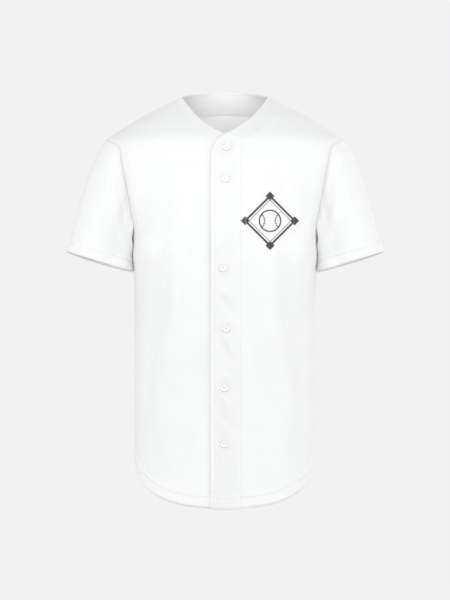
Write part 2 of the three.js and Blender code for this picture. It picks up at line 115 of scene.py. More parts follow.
SLEEVE_HEM = {"x": 231.6, "z": -303.8, "half": 64, "depth": 60, "inner_power": 5}
SLEEVE_TILT = math.radians(16.5)
SLEEVE_WAVES = table("share turns phase", (0.022, 3, 0.6), (0.014, 5, 2.1))
SLEEVE = {
    "slope_top": 0.84, "slope_under": 2.5, "leave": 0.6, "arrive_top": 0.9, "arrive_under": 0.3, "bulge": 0.5,
}
SLEEVE_BACK_DROP = 4.5
SLEEVE_BAND = 21

# The large folds, the same as the solids'. Each one's middle runs down from top to low, and lies this far out
# at the top, at the two thirds and at the low end
FOLDS = table(
    "panel depth width top low at_top upper lower at_low",
    ("front_right", -6, 13, -285, -600, 114, 120, 140, 160),
    ("front_left", -6, 13, -300, -600, 113, 119, 138, 158),
    ("front_right", 3.5, 13, -300, -590, 88, 92, 107, 126),
    ("front_left", 3.5, 13, -310, -600, 87, 94, 109, 128),
    ("front_right", 3, 9, -108, -262, 176, 170, 164, 156),
    ("front_left", 3, 9, -108, -262, 176, 170, 164, 156),
    ("front_right", -3, 16, -520, -730, 60, 66, 70, 72),
    ("front_left", -3, 17, -500, -720, 76, 80, 85, 90),
    ("back_right", -6, 15, -290, -610, 112, 111, 125, 152),
    ("back_left", -6, 14, -275, -600, 110, 115, 132, 156),
    ("back_right", 4, 15, -310, -610, 82, 83, 97, 118),
    ("back_left", 4, 14, -300, -600, 84, 87, 100, 120),
    ("back_right", -4, 20, -420, -730, 34, 30, 36, 40),
    ("back_left", -4, 18, -380, -710, 40, 44, 40, 46),
    ("back_right", 3, 10, -112, -265, 184, 178, 169, 158),
    ("back_left", 3, 10, -112, -265, 184, 178, 169, 158),
)
FOLD_FADE = 46
SIDE_FADE = 34
CREASE_END, CREASE_FADE = 0.04, 0.7

# Smaller creases that only the cloth shells have, with x as seen from the front on all panels
CREASES = table(
    "side depth width path",
    ("front", -2.4, 6, [(-15, -366), (-2, -378), (10, -394), (22, -408)]),
    ("front", 1.9, 5, [(-16, -352), (4, -364), (22, -380)]),
    ("front", 2.4, 5, [(-3, -440), (8, -458), (20, -484)]),
    ("front", -2.0, 5, [(-12, -436), (0, -462), (10, -494)]),
    ("front", 2.2, 5, [(-9, -544), (2, -566), (12, -590)]),
    ("front", -2.6, 5, [(-14, -562), (-6, -590), (10, -607), (26, -613)]),
    ("front", -1.4, 6, [(-16, -300), (-6, -286), (8, -262)]),
    ("front", 1.3, 5, [(-10, -250), (2, -232), (12, -206)]),
    ("front", 1.5, 5, [(-14, -500), (0, -516), (16, -524)]),
    ("front", -1.4, 5, [(-12, -664), (-8, -690), (-6, -716)]),
    ("front", -1.2, 7, [(30, -615), (52, -622), (80, -618)]),
    ("front", -1.3, 6, [(-26, -300), (-48, -318), (-70, -330)]),
    ("front", -1.6, 8, [(-168, -270), (-150, -300), (-136, -345), (-130, -400)]),
    ("front", -1.6, 8, [(168, -272), (152, -305), (140, -350), (134, -405)]),
    ("front", 1.5, 9, [(-152, -262), (-132, -290), (-120, -330)]),
    ("front", 1.5, 9, [(152, -264), (134, -295), (123, -335)]),
    ("front", -1.3, 12, [(-120, -640), (-112, -690), (-108, -735)]),
    ("front", -1.3, 12, [(126, -636), (120, -684), (118, -728)]),
    ("front", 1.2, 10, [(-34, -660), (-38, -705), (-40, -750)]),
    ("front", 1.0, 10, [(50, -655), (52, -700), (54, -748)]),
    ("front", -1.1, 9, [(-92, -110), (-108, -150), (-122, -200)]),
    ("front", -1.1, 9, [(94, -112), (110, -155), (124, -205)]),
    ("back", -2.6, 8, [(-168, -270), (-146, -300), (-120, -322), (-92, -334)]),
    ("back", -2.4, 8, [(168, -272), (148, -306), (124, -330), (98, -345)]),
    ("back", 2.2, 9, [(-150, -296), (-122, -330), (-96, -350)]),
    ("back", 2.2, 9, [(152, -300), (126, -338), (100, -360)]),
    ("back", -2.2, 9, [(-160, -300), (-128, -352), (-88, -380)]),
    ("back", -2.0, 9, [(160, -310), (126, -366), (84, -396)]),
    ("back", -2.2, 11, [(-60, -70), (-90, -105), (-112, -160)]),
    ("back", -2.2, 11, [(62, -72), (92, -110), (114, -165)]),
    ("back", -2.4, 12, [(-18, -300), (4, -330), (30, -350)]),
    ("back", 2.2, 11, [(-70, -560), (-74, -640), (-80, -740)]),
    ("back", 2.2, 11, [(78, -540), (84, -630), (88, -735)]),
    ("back", -2.2, 10, [(-6, -600), (2, -680), (4, -755)]),
)

# Folds down the sleeves: the turn goes round from the outer side by way of the front
SLEEVE_FOLDS = table(
    "turn depth width start",
    (112, -3.2, 12, 0.1),
    (62, 2.5, 16, 0.2),
    (242, -4.5, 10, 0.1),
    (300, -2.5, 14, 0.25),
)

# Beside its seam a sleeve's cloth pulls in and swells again, on the front side (1) or the back (-1)
SLEEVE_PULLS = table("side height at width", (1, -1.5, 15, 6), (-1, -1.8, 15, 6), (1, 1.4, 27, 7))

# Under the arm, waves run down from the seam about a turn, and fade at a distance from it
SLEEVE_DRAGS = table("turn height wave phase sway", (150, 0.8, 9, 0, 1.2), (212, 1.3, 9.5, 0.7, 0))
DRAG_SPREAD, DRAG_AT, DRAG_REACH = 26, 30, 26

# Relief beside the edges: soft ridges and grooves along an edge, at a distance in from it
RIDGES = table(
    "edge height at width",
    ("seam", -0.75, 0, 1.4),
    ("seam", 0.55, 6, 3.6),
    ("sleeve_seam", -0.8, 0, 1.5),
    ("sleeve_seam", 0.4, 6, 3.6),
    ("hem", -0.75, HEM_FIRST, 1.5),
    ("hem", -0.5, HEM_BAND, 1.1),
    ("hem", 1.0, HEM_BAND - 2.6, 1.5),
    ("neck", -0.6, NECK_STITCH, 1.0),
    ("neck", 0.85, 34, 3),
    ("facing_low", 0.55, 1.6, 1.2),
    ("facing_low", 0.5, 8, 1.3),
    ("facing_nape", -0.9, 0, 2.2),
    ("placket_edge", -0.45, PLACKET_STITCH, 1.0),
    ("placket_seam", -0.45, SEAM_STITCH, 0.9),
    ("button", -0.5, 0, 6),
    ("button", 0.35, 10, 4),
)

# Steps: the cloth is thicker by a height up to this far in from an edge, and falls off over a width
STEPS = table(
    "edge height at width", ("hem", 0.9, HEM_BAND, 2.2), ("neck", 0.75, 5, 1.6), ("cuff", 1.2, 0, 20),
)

# Puckers: short waves along an edge whose phase sways slowly, strongest at a distance in from it
PUCKERS = table(
    "edge height wave sway slow at width",
    ("seam", 0.25, 2.1, 2, 31, 5, 5),
    ("hem", 0.3, 2.3, 1.7, 27, 22, 6),
    ("neck", 0.16, 2.2, 1.5, 29, 7, 4),
    ("facing_low", 0.2, 2.4, 0, 1, 4, 4),
    ("placket_edge", 0.2, 2.2, 1.6, 33, 4, 4),
    ("placket_seam", 0.18, 2.3, 1.8, 37, 4, 4),
)

BUTTONS = table("x z", (3, -95.5), (0, -153.5), (-3.5, -316), (2, -427.5), (-1, -537), (-1, -640))
BUTTON_RADIUS, BUTTON_HEIGHT, BUTTON_SEAT = 7, 2.8, 0.3


def smooth(rows, key, value):
    """A curve through the rows that never overshoots them: cubic pieces whose slope at a row is the harmonic
    mean of the slopes beside it, or none where they differ in sign."""
    pairs = sorted((row[key], row[value]) for row in rows)
    x, y = (np.array(column, float) for column in zip(*pairs))
    step = np.diff(y) / np.diff(x)
    before, after = np.r_[step[0], step], np.r_[step, step[-1]]
    product = before * after
    total = np.where(before + after == 0, 1, before + after)
    slope = np.where(product <= 0, 0, 2 * product / total)

    def at(t):
        t = np.asarray(t, float)
        i = np.clip(np.searchsorted(x, t, "right") - 1, 0, len(x) - 2)
        width = x[i + 1] - x[i]
        s = np.clip((t - x[i]) / width, 0, 1)
        rest = 1 - s
        ends = y[i] * (1 + 2 * s) * rest**2 + y[i + 1] * (3 - 2 * s) * s**2
        return ends + width * (slope[i] * s * rest**2 - slope[i + 1] * s**2 * rest)

    return at


half, front_depth, back_depth, middle, power = (
    smooth(TORSO, "z", name) for name in ("half", "front", "back", "mid", "power")
)
hem_rise = smooth(HEM_RISE, "turn", "rise")
neckline = smooth(NECKLINE, "x", "z")


def ease(t):
    """A soft step from 0 to 1: 3t^2 - 2t^3."""
    t = np.clip(t, 0, 1)
    return t * t * (3 - 2 * t)


def bell(d, width):
    """A soft bump: exp(-(d / width)^2)."""
    return np.exp(-((d / width) ** 2))


def lerp(a, b, t):
    """The value a share t of the way from a to b."""
    return a + (b - a) * t


def torso(side, g, z):
    """The plain torso: each height's section is the rounded square |x/half|^n + |y/depth|^n = 1, walked by
    its turn g / half x 90 degrees from the centre."""
    wide = half(z)
    turn = np.pi / 2 * g / wide
    n = power(z)
    rim = (np.abs(np.sin(turn)) ** n + np.abs(np.cos(turn)) ** n) ** (1 / n)
    depth = -front_depth(z) if side == "front" else back_depth(z)
    return np.stack([wide * np.sin(turn) / rim, middle(z) + depth * np.cos(turn) / rim, z + 0 * g], -1)


def girth(x, z):
    """The girth at a distance x from the centre: the torso's section, solved for its turn."""
    t = np.minimum(np.abs(x) / half(z), 1)
    n = power(z)
    return np.sign(x) * half(z) * np.arctan2(t, (1 - t**n) ** (1 / n)) / (np.pi / 2)


def unit(v):
    """Each vector at length 1."""
    return v / np.maximum(np.linalg.norm(v, axis=-1, keepdims=True), 1e-9)


def torso_normal(side, g, z, step=0.5):
    """Outward: the cross product of the slopes across and up."""
    across = torso(side, g + step, z) - torso(side, g - step, z)
    up = torso(side, g, z + step) - torso(side, g, z - step)
    out = unit(np.cross(across, up))
    return out if side == "front" else -out


def fold_path(fold):
    """How far out a fold's middle lies, by its height."""
    out = [fold[name] for name in ("at_top", "upper", "lower", "at_low")]
    return smooth(table("x z", *zip(out, np.linspace(fold["top"], fold["low"], 4))), "z", "x")


FOLD_PATHS = [{**fold, "x": fold_path(fold)} for fold in FOLDS]


def fold_height(side, x, z):
    """The large folds: a bell across each path, faded at its ends and toward the side of the body."""
    height = np.zeros_like(x)
    for fold in FOLD_PATHS:
        if not fold["panel"].startswith(side):
            continue
        hand = 1 if fold["panel"].endswith("left") else -1
        fade = ease((fold["top"] + FOLD_FADE - z) / FOLD_FADE)
        fade = fade * ease((z - fold["low"] + FOLD_FADE) / FOLD_FADE)
        across = bell(hand * x - fold["x"](z), fold["width"])
        height += np.where(hand * x >= 0, fold["depth"] * fade * across, 0)
    return height * ease((half(z) - np.abs(x)) / SIDE_FADE)


def crease_height(side, x, z):
    """The small creases: a bell across the nearest stretch of each path, faded toward the path's ends."""
    height = np.zeros_like(x)
    for crease in CREASES:
        if crease["side"] != side:
            continue
        path = np.array(crease["path"], float)
        legs = np.diff(path, axis=0)
        lengths = np.hypot(*legs.T)
        best = np.full(x.shape, 1e9)
        share = np.zeros_like(x)
        for k, (leg, length) in enumerate(zip(legs, lengths)):
            s = np.clip(((x - path[k, 0]) * leg[0] + (z - path[k, 1]) * leg[1]) / length**2, 0, 1)
            away = np.hypot(x - path[k, 0] - s * leg[0], z - path[k, 1] - s * leg[1])
            share = np.where(away < best, (lengths[:k].sum() + s * length) / lengths.sum(), share)
            best = np.minimum(best, away)
        fade = np.sin(np.pi * np.clip(share, CREASE_END, 1 - CREASE_END)) ** CREASE_FADE
        height += crease["depth"] * bell(best, crease["width"]) * fade
    return height


def skin(side, g, z, lift=0.0):
    """The cloth's outer face: the torso moved out along its normal by the folds, the creases and a lift."""
    plain = torso(side, g, z)
    x = plain[..., 0]
    height = fold_height(side, x, z) + crease_height(side, x, z) + lift
    return plain + torso_normal(side, g, z) * np.asarray(height)[..., None]


def paced(points):
    """Points of a line at an even pace: a function of the share of its length."""
    length = np.r_[0, np.cumsum(np.hypot(*np.diff(points, axis=0).T))]

    def at(t):
        walked = np.asarray(t) * length[-1]
        return np.stack([np.interp(walked, length, points[:, k]) for k in (0, 1)], -1)

    return at


def through(points, count=400):
    """A Catmull-Rom curve through the points, at count even shares."""
    p = np.vstack([points[0], points, points[-1]])
    t = np.linspace(0, len(points) - 1, count)
    i = np.minimum(t.astype(int), len(points) - 2)
    s = (t - i)[:, None]
    a, b, c, d = p[i], p[i + 1], p[i + 2], p[i + 3]
    return 0.5 * (2 * b + (c - a) * s + (2 * a - 5 * b + 4 * c - d) * s**2 + (3 * b - a - 3 * c + d) * s**3)


def armhole_line(side):
    """From the underarm up to the shoulder tip, as places: a curve through the armhole's rows."""
    rows = [(UNDERARM_Z, float(half(UNDERARM_Z)))] + [(row["z"], row[side]) for row in ARMHOLE][::-1]
    rows.append((TIP_Z, TIP_X))
    line = through(np.array([(girth(x, z), z) for z, x in rows]))
    line[:, 0] = np.minimum(line[:, 0], half(line[:, 1]))
    return paced(line)


armhole = {side: armhole_line(side) for side in ("front", "back")}
shoulder_z = np.linspace(0, TIP_Z, 200)
shoulder_seam = paced(np.stack([half(shoulder_z), shoulder_z], -1))
ARMHOLE_SLACK = 40
SIDE_SHARE = (UNDERARM_Z - HEM_Z - HEM_SIDE) / (TIP_Z - HEM_Z - HEM_SIDE + ARMHOLE_SLACK)
LOW_BEND, HIGH_BEND = 1.5, 1.4


def outer_edge(side, v):
    """The side seam up to the underarm, then the armhole up to the shoulder tip."""
    v = np.asarray(v, float)
    z = lerp(HEM_Z + HEM_SIDE, UNDERARM_Z, np.clip(v / SIDE_SHARE, 0, 1))
    seam = np.stack([half(z), z], -1)
    hole = armhole[side](np.clip((v - SIDE_SHARE) / (1 - SIDE_SHARE), 0, 1))
    return np.where((v <= SIDE_SHARE)[..., None], seam, hole)


def hem_line(g):
    """The hem's height: lowest in the middle, and up to the side seams by the rise at each turn."""
    return HEM_Z + hem_rise(90 * np.minimum(np.abs(g) / half(HEM_Z), 1))


def patch(left, right, low, high, u, v):
    """Straight rows from the left edge to the right edge, bent to the low edge near it and to the high edge
    near it."""
    ends = np.array([0.0, 1.0])
    low_ends, high_ends = low(ends), high(ends)
    low_bend = low(u) - lerp(low_ends[0], low_ends[1], u[:, None])
    high_bend = high(u) - lerp(high_ends[0], high_ends[1], u[:, None])
    low_pull = np.maximum(0, 1 - v / SIDE_SHARE) ** LOW_BEND
    high_pull = np.maximum(0, (v - SIDE_SHARE) / (1 - SIDE_SHARE)) ** HIGH_BEND
    rows = lerp(left(v)[:, None], right(v)[:, None], u[None, :, None])
    return rows + low_pull[:, None, None] * low_bend + high_pull[:, None, None] * high_bend


def graded(count, low=1.0, high=1.0, reach=0.08):
    """Shares from 0 to 1 whose steps shrink to low and high times the usual near the two ends."""
    at = (np.arange(count) + 0.5) / count
    step = 1 - (1 - low) * bell(at, reach) - (1 - high) * bell(1 - at, reach)
    return np.r_[0, np.cumsum(step) / step.sum()]


# Shares up a panel and round the armhole, the same on panels that meet
ARMHOLE_SHARES = graded(58, 0.6, 0.4)
HEM_ROWS = np.r_[0, 0.25, 0.7, 1.3, 2.1, np.linspace(3, 34, 21)]
band_rows = HEM_ROWS / (UNDERARM_Z - HEM_Z - HEM_SIDE)
side_rows = band_rows[-1] + (1 - band_rows[-1]) * np.linspace(0, 1, 92)
PANEL_ROWS = np.r_[band_rows, side_rows[1:]] * SIDE_SHARE
PANEL_ROWS = np.r_[PANEL_ROWS, lerp(SIDE_SHARE, 1, ARMHOLE_SHARES[1:])]
SHOULDER_SHARES = graded(32, 0.5, 0.3, 0.12)

# How much of a panel's top row is the neck on a front, and each shoulder on the back
FRONT_NECK_SHARE, BACK_SHOULDER_SHARE = 9 / 17, 8 / 28


def nearest(points, line):
    """How far each point lies from a line of close points, and how far along the line that is."""
    along = np.r_[0, np.cumsum(np.linalg.norm(np.diff(line, axis=0), axis=1))]
    flat = points.reshape(-1, 3)
    away, at = np.empty(len(flat)), np.empty(len(flat))
    for start in range(0, len(flat), 4000):
        some = flat[start:start + 4000]
        square = (some**2).sum(1)[:, None] + (line**2).sum(1) - 2 * some @ line.T
        best = square.argmin(1)
        away[start:start + 4000] = np.linalg.norm(some - line[best], axis=1)
        at[start:start + 4000] = along[best]
    return away.reshape(points.shape[:-1]), at.reshape(points.shape[:-1])


def dense(line, step=1.0):
    """The same line with its points a step apart."""
    along = np.r_[0, np.cumsum(np.linalg.norm(np.diff(line, axis=0), axis=1))]
    at = np.linspace(0, along[-1], max(int(along[-1] / step), 2))
    return np.stack([np.interp(at, along, line[:, k]) for k in range(3)], -1)


def edge_relief(edge, d, s=0.0):
    """The relief beside an edge, by the distance d from it and the place s along it: a bell for each ridge, a
    soft step down for each step, and a bell of waves along the edge for each pucker."""
    height = np.zeros_like(d)
    for row in (row for row in RIDGES if row["edge"] == edge):
        height = height + row["height"] * bell(d - row["at"], row["width"])
    for row in (row for row in STEPS if row["edge"] == edge):
        height = height + row["height"] * (1 - ease((d - row["at"]) / row["width"]))
    for row in (row for row in PUCKERS if row["edge"] == edge):
        wave = np.sin(s / row["wave"] + row["sway"] * np.sin(s / row["slow"]))
        height = height + row["height"] * wave * bell(d - row["at"], row["width"])
    return height


def hem_relief(d, s, roll=HEM_ROLL["body"]):
    """A turned-up hem, rolled in at its edge by deep x (1 - d / high)^1.5."""
    high, deep = roll
    return edge_relief("hem", d, s) - deep * np.clip(1 - d / high, 0, 1) ** 1.5


def cuff_relief(d, s):
    """The same hem at a sleeve's end, where it is narrower and flares a little."""
    high, deep = HEM_ROLL["cuff"]
    shift = (HEM_BAND - SLEEVE_BAND) * ease((d - high) / 6)
    return hem_relief(d + shift, s, (high, deep)) + edge_relief("cuff", d)


def shell(name, outer, out, thick, closed=False, uv=None, wrap=None):
    """A cloth wall as one closed mesh. The inner face lies one thickness in along the normals, and a rounded
    rim of one row of points, half a thickness beyond the edge, joins the two."""
    inner = outer - out * thick
    core = (outer + inner) / 2

    def beyond(edge, next_row):
        return edge + unit(edge - next_row) * thick / 2

    def ringed(face):
        rows = np.concatenate([beyond(core[0], core[1])[None], face, beyond(core[-1], core[-2])[None]])
        if closed:
            return rows
        mid = np.concatenate([rows[:1], core, rows[-1:]])
        first, last = beyond(mid[:, 0], mid[:, 1])[:, None], beyond(mid[:, -1], mid[:, -2])[:, None]
        return np.concatenate([first, rows, last], axis=1)

    faces = [ringed(outer), ringed(inner)]
    rows, cols = faces[0].shape[:2]
    ids = np.arange(rows * cols).reshape(rows, cols)
    inner_ids = ids + rows * cols
    rim = np.zeros((rows, cols), bool)
    rim[[0, -1]] = True
    if not closed:
        rim[:, [0, -1]] = True
    inner_ids[rim] = ids[rim]

    def quads(grid, flip):
        right = np.roll(grid, -1, axis=1) if closed else grid[:, 1:]
        left = grid if closed else grid[:, :-1]
        four = np.stack([left[:-1], right[:-1], right[1:], left[1:]], -1).reshape(-1, 4)
        return four[:, ::-1] if flip else four

    # The outer face turns toward the normals
    a = faces[0][rows // 2, cols // 2 + 1] - faces[0][rows // 2, cols // 2]
    b = faces[0][rows // 2 + 1, cols // 2] - faces[0][rows // 2, cols // 2]
    wrong = np.dot(np.cross(a, b), out[rows // 2, cols // 2 - 1 if not closed else cols // 2]) < 0
    polygons = np.concatenate([quads(ids, wrong), quads(inner_ids, not wrong)])
    points = np.concatenate([face.reshape(-1, 3) for face in faces])
    used, polygons = np.unique(polygons, return_inverse=True)
    polygons = polygons.reshape(-1, 4)
    flat = None
    if uv is not None:
        pad = np.pad(uv, ((1, 1), (0, 0) if closed else (1, 1), (0, 0)), mode="edge").reshape(-1, 2)
        flat = np.concatenate([pad, pad])[used]
    return mesh_object(name, points[used], polygons, flat, wrap)


def mesh_object(name, points, polygons, uv=None, wrap=None):
    """A smooth mesh at the origin from points in millimetres, with one UV pair for each point. On a tube, the
    UVs start again after the width wrap, so the faces that close it take the width more."""
    mesh = bpy.data.meshes.new(name)
    sides = polygons.shape[1]
    mesh.vertices.add(len(points))
    mesh.vertices.foreach_set("co", (points * MM).astype(np.float32).ravel())
    mesh.loops.add(polygons.size)
    mesh.loops.foreach_set("vertex_index", polygons.astype(np.int32).ravel())
    mesh.polygons.add(len(polygons))
    mesh.polygons.foreach_set("loop_start", np.arange(0, polygons.size, sides, dtype=np.int32))
    mesh.update(calc_edges=True)
    mesh.polygons.foreach_set("use_smooth", np.ones(len(polygons), bool))
    if uv is not None:
        layer = mesh.uv_layers.new(name="cloth")
        corners = uv[polygons]
        if wrap is not None:
            closing = np.ptp(corners[..., 0], axis=1) > wrap / 2
            corners[closing, :, 0] += np.where(corners[closing, :, 0] < wrap / 2, wrap, 0)
        layer.uv.foreach_set("vector", (corners * MM).astype(np.float32).ravel())
    mesh.validate()
    piece = bpy.data.objects.new(name, mesh)
    bpy.context.scene.collection.objects.link(piece)
    return piece


def cloth_uv(grid, start):
    """Millimetres along the rows from column start, and along that column from the first row."""
    across = np.linalg.norm(np.diff(grid, axis=1), axis=-1)
    along = np.concatenate([np.zeros((len(grid), 1)), np.cumsum(across, axis=1)], axis=1)
    up = np.linalg.norm(np.diff(grid, axis=0), axis=-1)
    rise = np.concatenate([np.zeros((1, grid.shape[1])), np.cumsum(up, axis=0)])
    return np.stack([along - along[:, start:start + 1], rise], -1)


def place_line(side, places, lift=0.0):
    """A line of places as points on the cloth, close together."""
    return dense(skin(side, places[:, 0], places[:, 1], lift))


def x_places(line):
    """A line of (x, z) as places."""
    return np.stack([girth(line[:, 0], line[:, 1]), line[:, 1]], -1)


def shares(low, high, count=300):
    """Even steps."""
    return np.linspace(low, high, count)


def seam_lines(side, hand):
    """The two sewn lines of a panel: up its outer edge, and along the shoulder."""
    lines = outer_edge(side, shares(0, 1, 700)), shoulder_seam(shares(0, 1))
    return [place_line(side, line * (hand, 1)) for line in lines]


def front_neck(start):
    """The neckline as places, from a distance start from the centre out to the neck point."""
    x = lerp(start, NECK_HALF, shares(0, 1, 500))
    z = neckline(x)
    return paced(np.stack([girth(x, z), z], -1))


def panel_front(name, hand, start, lift):
    """A front. Hand 1 is the wearer's left, and start is how far from the centre line it begins."""
    neck = front_neck(start)
    neck_share = FRONT_NECK_SHARE
    u = np.r_[graded(34, 0.5, 0.5) * neck_share, neck_share + (1 - neck_share) * SHOULDER_SHARES[1:]]

    def high(t):
        t = np.asarray(t, float)
        inner = neck(np.clip(t / neck_share, 0, 1))
        shoulder = shoulder_seam((t - neck_share) / (1 - neck_share))
        return np.where((t <= neck_share)[..., None], inner, shoulder)

    foot = float(girth(start, HEM_Z))
    top = float(high(0.0)[1])

    def left(v):
        low = lerp(float(hem_line(foot)), UNDERARM_Z, np.clip(v / SIDE_SHARE, 0, 1))
        z = np.where(v <= SIDE_SHARE, low, lerp(UNDERARM_Z, top, (v - SIDE_SHARE) / (1 - SIDE_SHARE)))
        return np.stack([girth(start, z), z], -1)

    def low(t):
        g = lerp(foot, float(half(HEM_Z + HEM_SIDE)), np.asarray(t, float))
        return np.stack([g, hem_line(g)], -1)

    places = patch(left, lambda v: outer_edge("front", v), low, high, u, PANEL_ROWS)
    g, z = hand * places[..., 0], places[..., 1]
    x = np.abs(torso("front", g, z)[..., 0]) * np.sign(places[..., 0])
    grid = skin("front", g, z, lift(x))
    out = torso_normal("front", g, z)
    neck_line = place_line("front", neck(shares(0, 1, 500)) * (hand, 1))
    hem = place_line("front", low(shares(0, 1, 500)) * (hand, 1))
    relief = edge_relief("neck", *nearest(grid, neck_line)) + hem_relief(*nearest(grid, hem))
    for line in seam_lines("front", hand):
        relief += edge_relief("seam", *nearest(grid, line))
    grid = grid + out * relief[..., None]
    piece = shell(name, grid, out, CLOTH, uv=cloth_uv(grid, 0))
    node_name, cut = ("front_right", (0.30, 0.79)) if hand < 0 else ("front_left", (0.25, 0.79))
    return dress(piece, grid, node_name, cut)


def back_edges():
    """The back's four edges, each a function of the share along it. The nape rises by NAPE_RISE x cos(turn)
    from the neck points."""
    shoulder_share = BACK_SHOULDER_SHARE

    def high(t):
        t = np.asarray(t, float)
        turn = np.clip((t - shoulder_share) / (1 - 2 * shoulder_share), 0, 1) * 2 - 1
        z = NAPE_RISE * np.cos(turn * np.pi / 2)
        nape = np.stack([turn * half(z), z], -1)
        right = shoulder_seam(np.clip((t - 1 + shoulder_share) / shoulder_share, 0, 1))
        left = shoulder_seam(np.clip(1 - t / shoulder_share, 0, 1)) * (-1, 1)
        rest = np.where((t > 1 - shoulder_share)[..., None], right, nape)
        return np.where((t < shoulder_share)[..., None], left, rest)

    def low(t):
        g = lerp(-1, 1, np.asarray(t, float)) * float(half(HEM_Z + HEM_SIDE))
        return np.stack([g, hem_line(g)], -1)

    return {
        "left": lambda v: outer_edge("back", v) * (-1, 1),
        "right": lambda v: outer_edge("back", v),
        "low": low,
        "high": high,
    }


def nape_line():
    """The back's neck edge on the cloth."""
    turn = shares(-1, 1, 400)
    z = NAPE_RISE * np.cos(turn * np.pi / 2)
    return place_line("back", np.stack([turn * half(z), z], -1))


def panel_back():
    """The back, from side seam to side seam."""
    edges, share = back_edges(), BACK_SHOULDER_SHARE
    u = np.r_[
        share * (1 - SHOULDER_SHARES[::-1]),
        lerp(share, 1 - share, graded(64, 0.5, 0.5))[1:],
        (1 - share) + share * SHOULDER_SHARES[1:],
    ]
    places = patch(edges["left"], edges["right"], edges["low"], edges["high"], u, PANEL_ROWS)
    g, z = places[..., 0], places[..., 1]
    grid, out = skin("back", g, z), torso_normal("back", g, z)
    hem = place_line("back", edges["low"](shares(0, 1, 900)))
    relief = edge_relief("neck", *nearest(grid, nape_line())) + hem_relief(*nearest(grid, hem))
    for line in (*seam_lines("back", -1), *seam_lines("back", 1)):
        relief += edge_relief("seam", *nearest(grid, line))
    grid = grid + out * relief[..., None]
    piece = shell("cloth_back", grid, out, CLOTH, uv=cloth_uv(grid, len(u) // 2))
    return dress(piece, grid, "back", (0.55, 0.80))


def panel_facing():
    """The facing inside the back neck: the back's own places near the neck, moved in."""
    edges, share = back_edges(), BACK_SHOULDER_SHARE
    u = lerp(share * FACING["from_u"], 1 - share * FACING["from_u"], shares(0, 1, 90))
    v = lerp(lerp(SIDE_SHARE, 1, FACING["from_v"]), 1, shares(0, 1, 22))
    places = patch(edges["left"], edges["right"], edges["low"], edges["high"], u, v)
    g, z = places[..., 0], places[..., 1]
    outer = skin("back", g, z)
    relief = edge_relief("facing_low", *nearest(outer, place_line("back", places[0])))
    relief += edge_relief("facing_nape", nearest(outer, nape_line())[0])
    grid = skin("back", g, z, relief - CLOTH - FACING["gap"])
    near_nape = (v[:, None] - FACING["rise_from"]) / (1 - FACING["rise_from"])
    grid[..., 2] += FACING["rise"] * ease(near_nape)
    out = torso_normal("back", g, z)
    piece = shell("cloth_facing", grid, out, FACING["wall"], uv=cloth_uv(grid, 45))
    return dress(piece, grid, "back_neck_facing", (0.32, 0.08))


def placket_top(x):
    """The placket's top edge: the neckline, then a rounded corner down to the folded edge."""
    corner_z = float(neckline(V_BOTTOM_X))
    s = np.clip((V_BOTTOM_X - x) / (V_BOTTOM_X - PLACKET_EDGE), 0, 1)
    rounded = corner_z - PLACKET_TURN * (1 - np.sqrt(1 - s**2)) - PLACKET_SLANT * s
    return np.where(x >= V_BOTTOM_X, neckline(x), rounded)


def placket_outline():
    """Up the folded edge and over the rounded top to the seam, as distances from the centre and heights."""
    foot = float(hem_line(girth(PLACKET_EDGE, HEM_Z)))
    corner = float(placket_top(np.array(PLACKET_EDGE)))
    rise = np.stack([np.full(300, PLACKET_EDGE), np.linspace(foot, corner, 300)], -1)
    x = lerp(PLACKET_EDGE, PLACKET_SEAM, graded(300, 0.01, 1, 0.3))
    return np.concatenate([rise[:-1], np.stack([x, placket_top(x)], -1)])


def panel_placket():
    """The placket: columns at even heights from the hem to its top edge, over the fronts' own surface."""
    u = graded(40, 0.25, 0.6, 0.15)
    x = lerp(PLACKET_EDGE, PLACKET_SEAM, u)
    band = HEM_ROWS / PLACKET_LENGTH
    v = np.r_[band, np.linspace(band[-1], 1, 200)[1:]]
    low = hem_line(girth(x, HEM_Z))
    z = lerp(low[None], placket_top(x)[None], v[:, None])
    x = np.broadcast_to(x, z.shape)
    g = girth(x, z)
    grid, out = skin("front", g, z, PLACKET_LIFT), torso_normal("front", g, z)
    edge = place_line("front", x_places(placket_outline()), PLACKET_LIFT)
    hem_x = np.linspace(PLACKET_EDGE, PLACKET_SEAM, 100)
    hem = place_line("front", x_places(np.stack([hem_x, hem_line(girth(hem_x, HEM_Z))], -1)), PLACKET_LIFT)
    relief = edge_relief("placket_edge", *nearest(grid, edge))
    relief += edge_relief("placket_seam", PLACKET_SEAM - x, z)
    relief += 0.5 * hem_relief(*nearest(grid, hem))
    for place in BUTTONS:
        relief += edge_relief("button", np.hypot((x - place["x"]) / 1.5, z - place["z"]))
    grid = grid + out * relief[..., None]
    piece = shell("cloth_placket", grid, out, PLACKET_WALL, uv=cloth_uv(grid, 0))
    return dress(piece, grid, "placket", (0.06, 0.71))


def sleeve_frame():
    """A sleeve's hem plane: its outward axis, the way it hangs, and its middle."""
    outward = np.array([math.cos(SLEEVE_TILT), 0, math.sin(SLEEVE_TILT)])
    hang = np.array([math.sin(SLEEVE_TILT), 0, -math.cos(SLEEVE_TILT)])
    return outward, hang, np.array([SLEEVE_HEM["x"], 0, SLEEVE_HEM["z"]])


SLEEVES = (("sleeve_right", -1), ("sleeve_left", 1))
SEAM_ALLOWANCE = table("inward under", (4, 1.9), (0.3, 1.6))


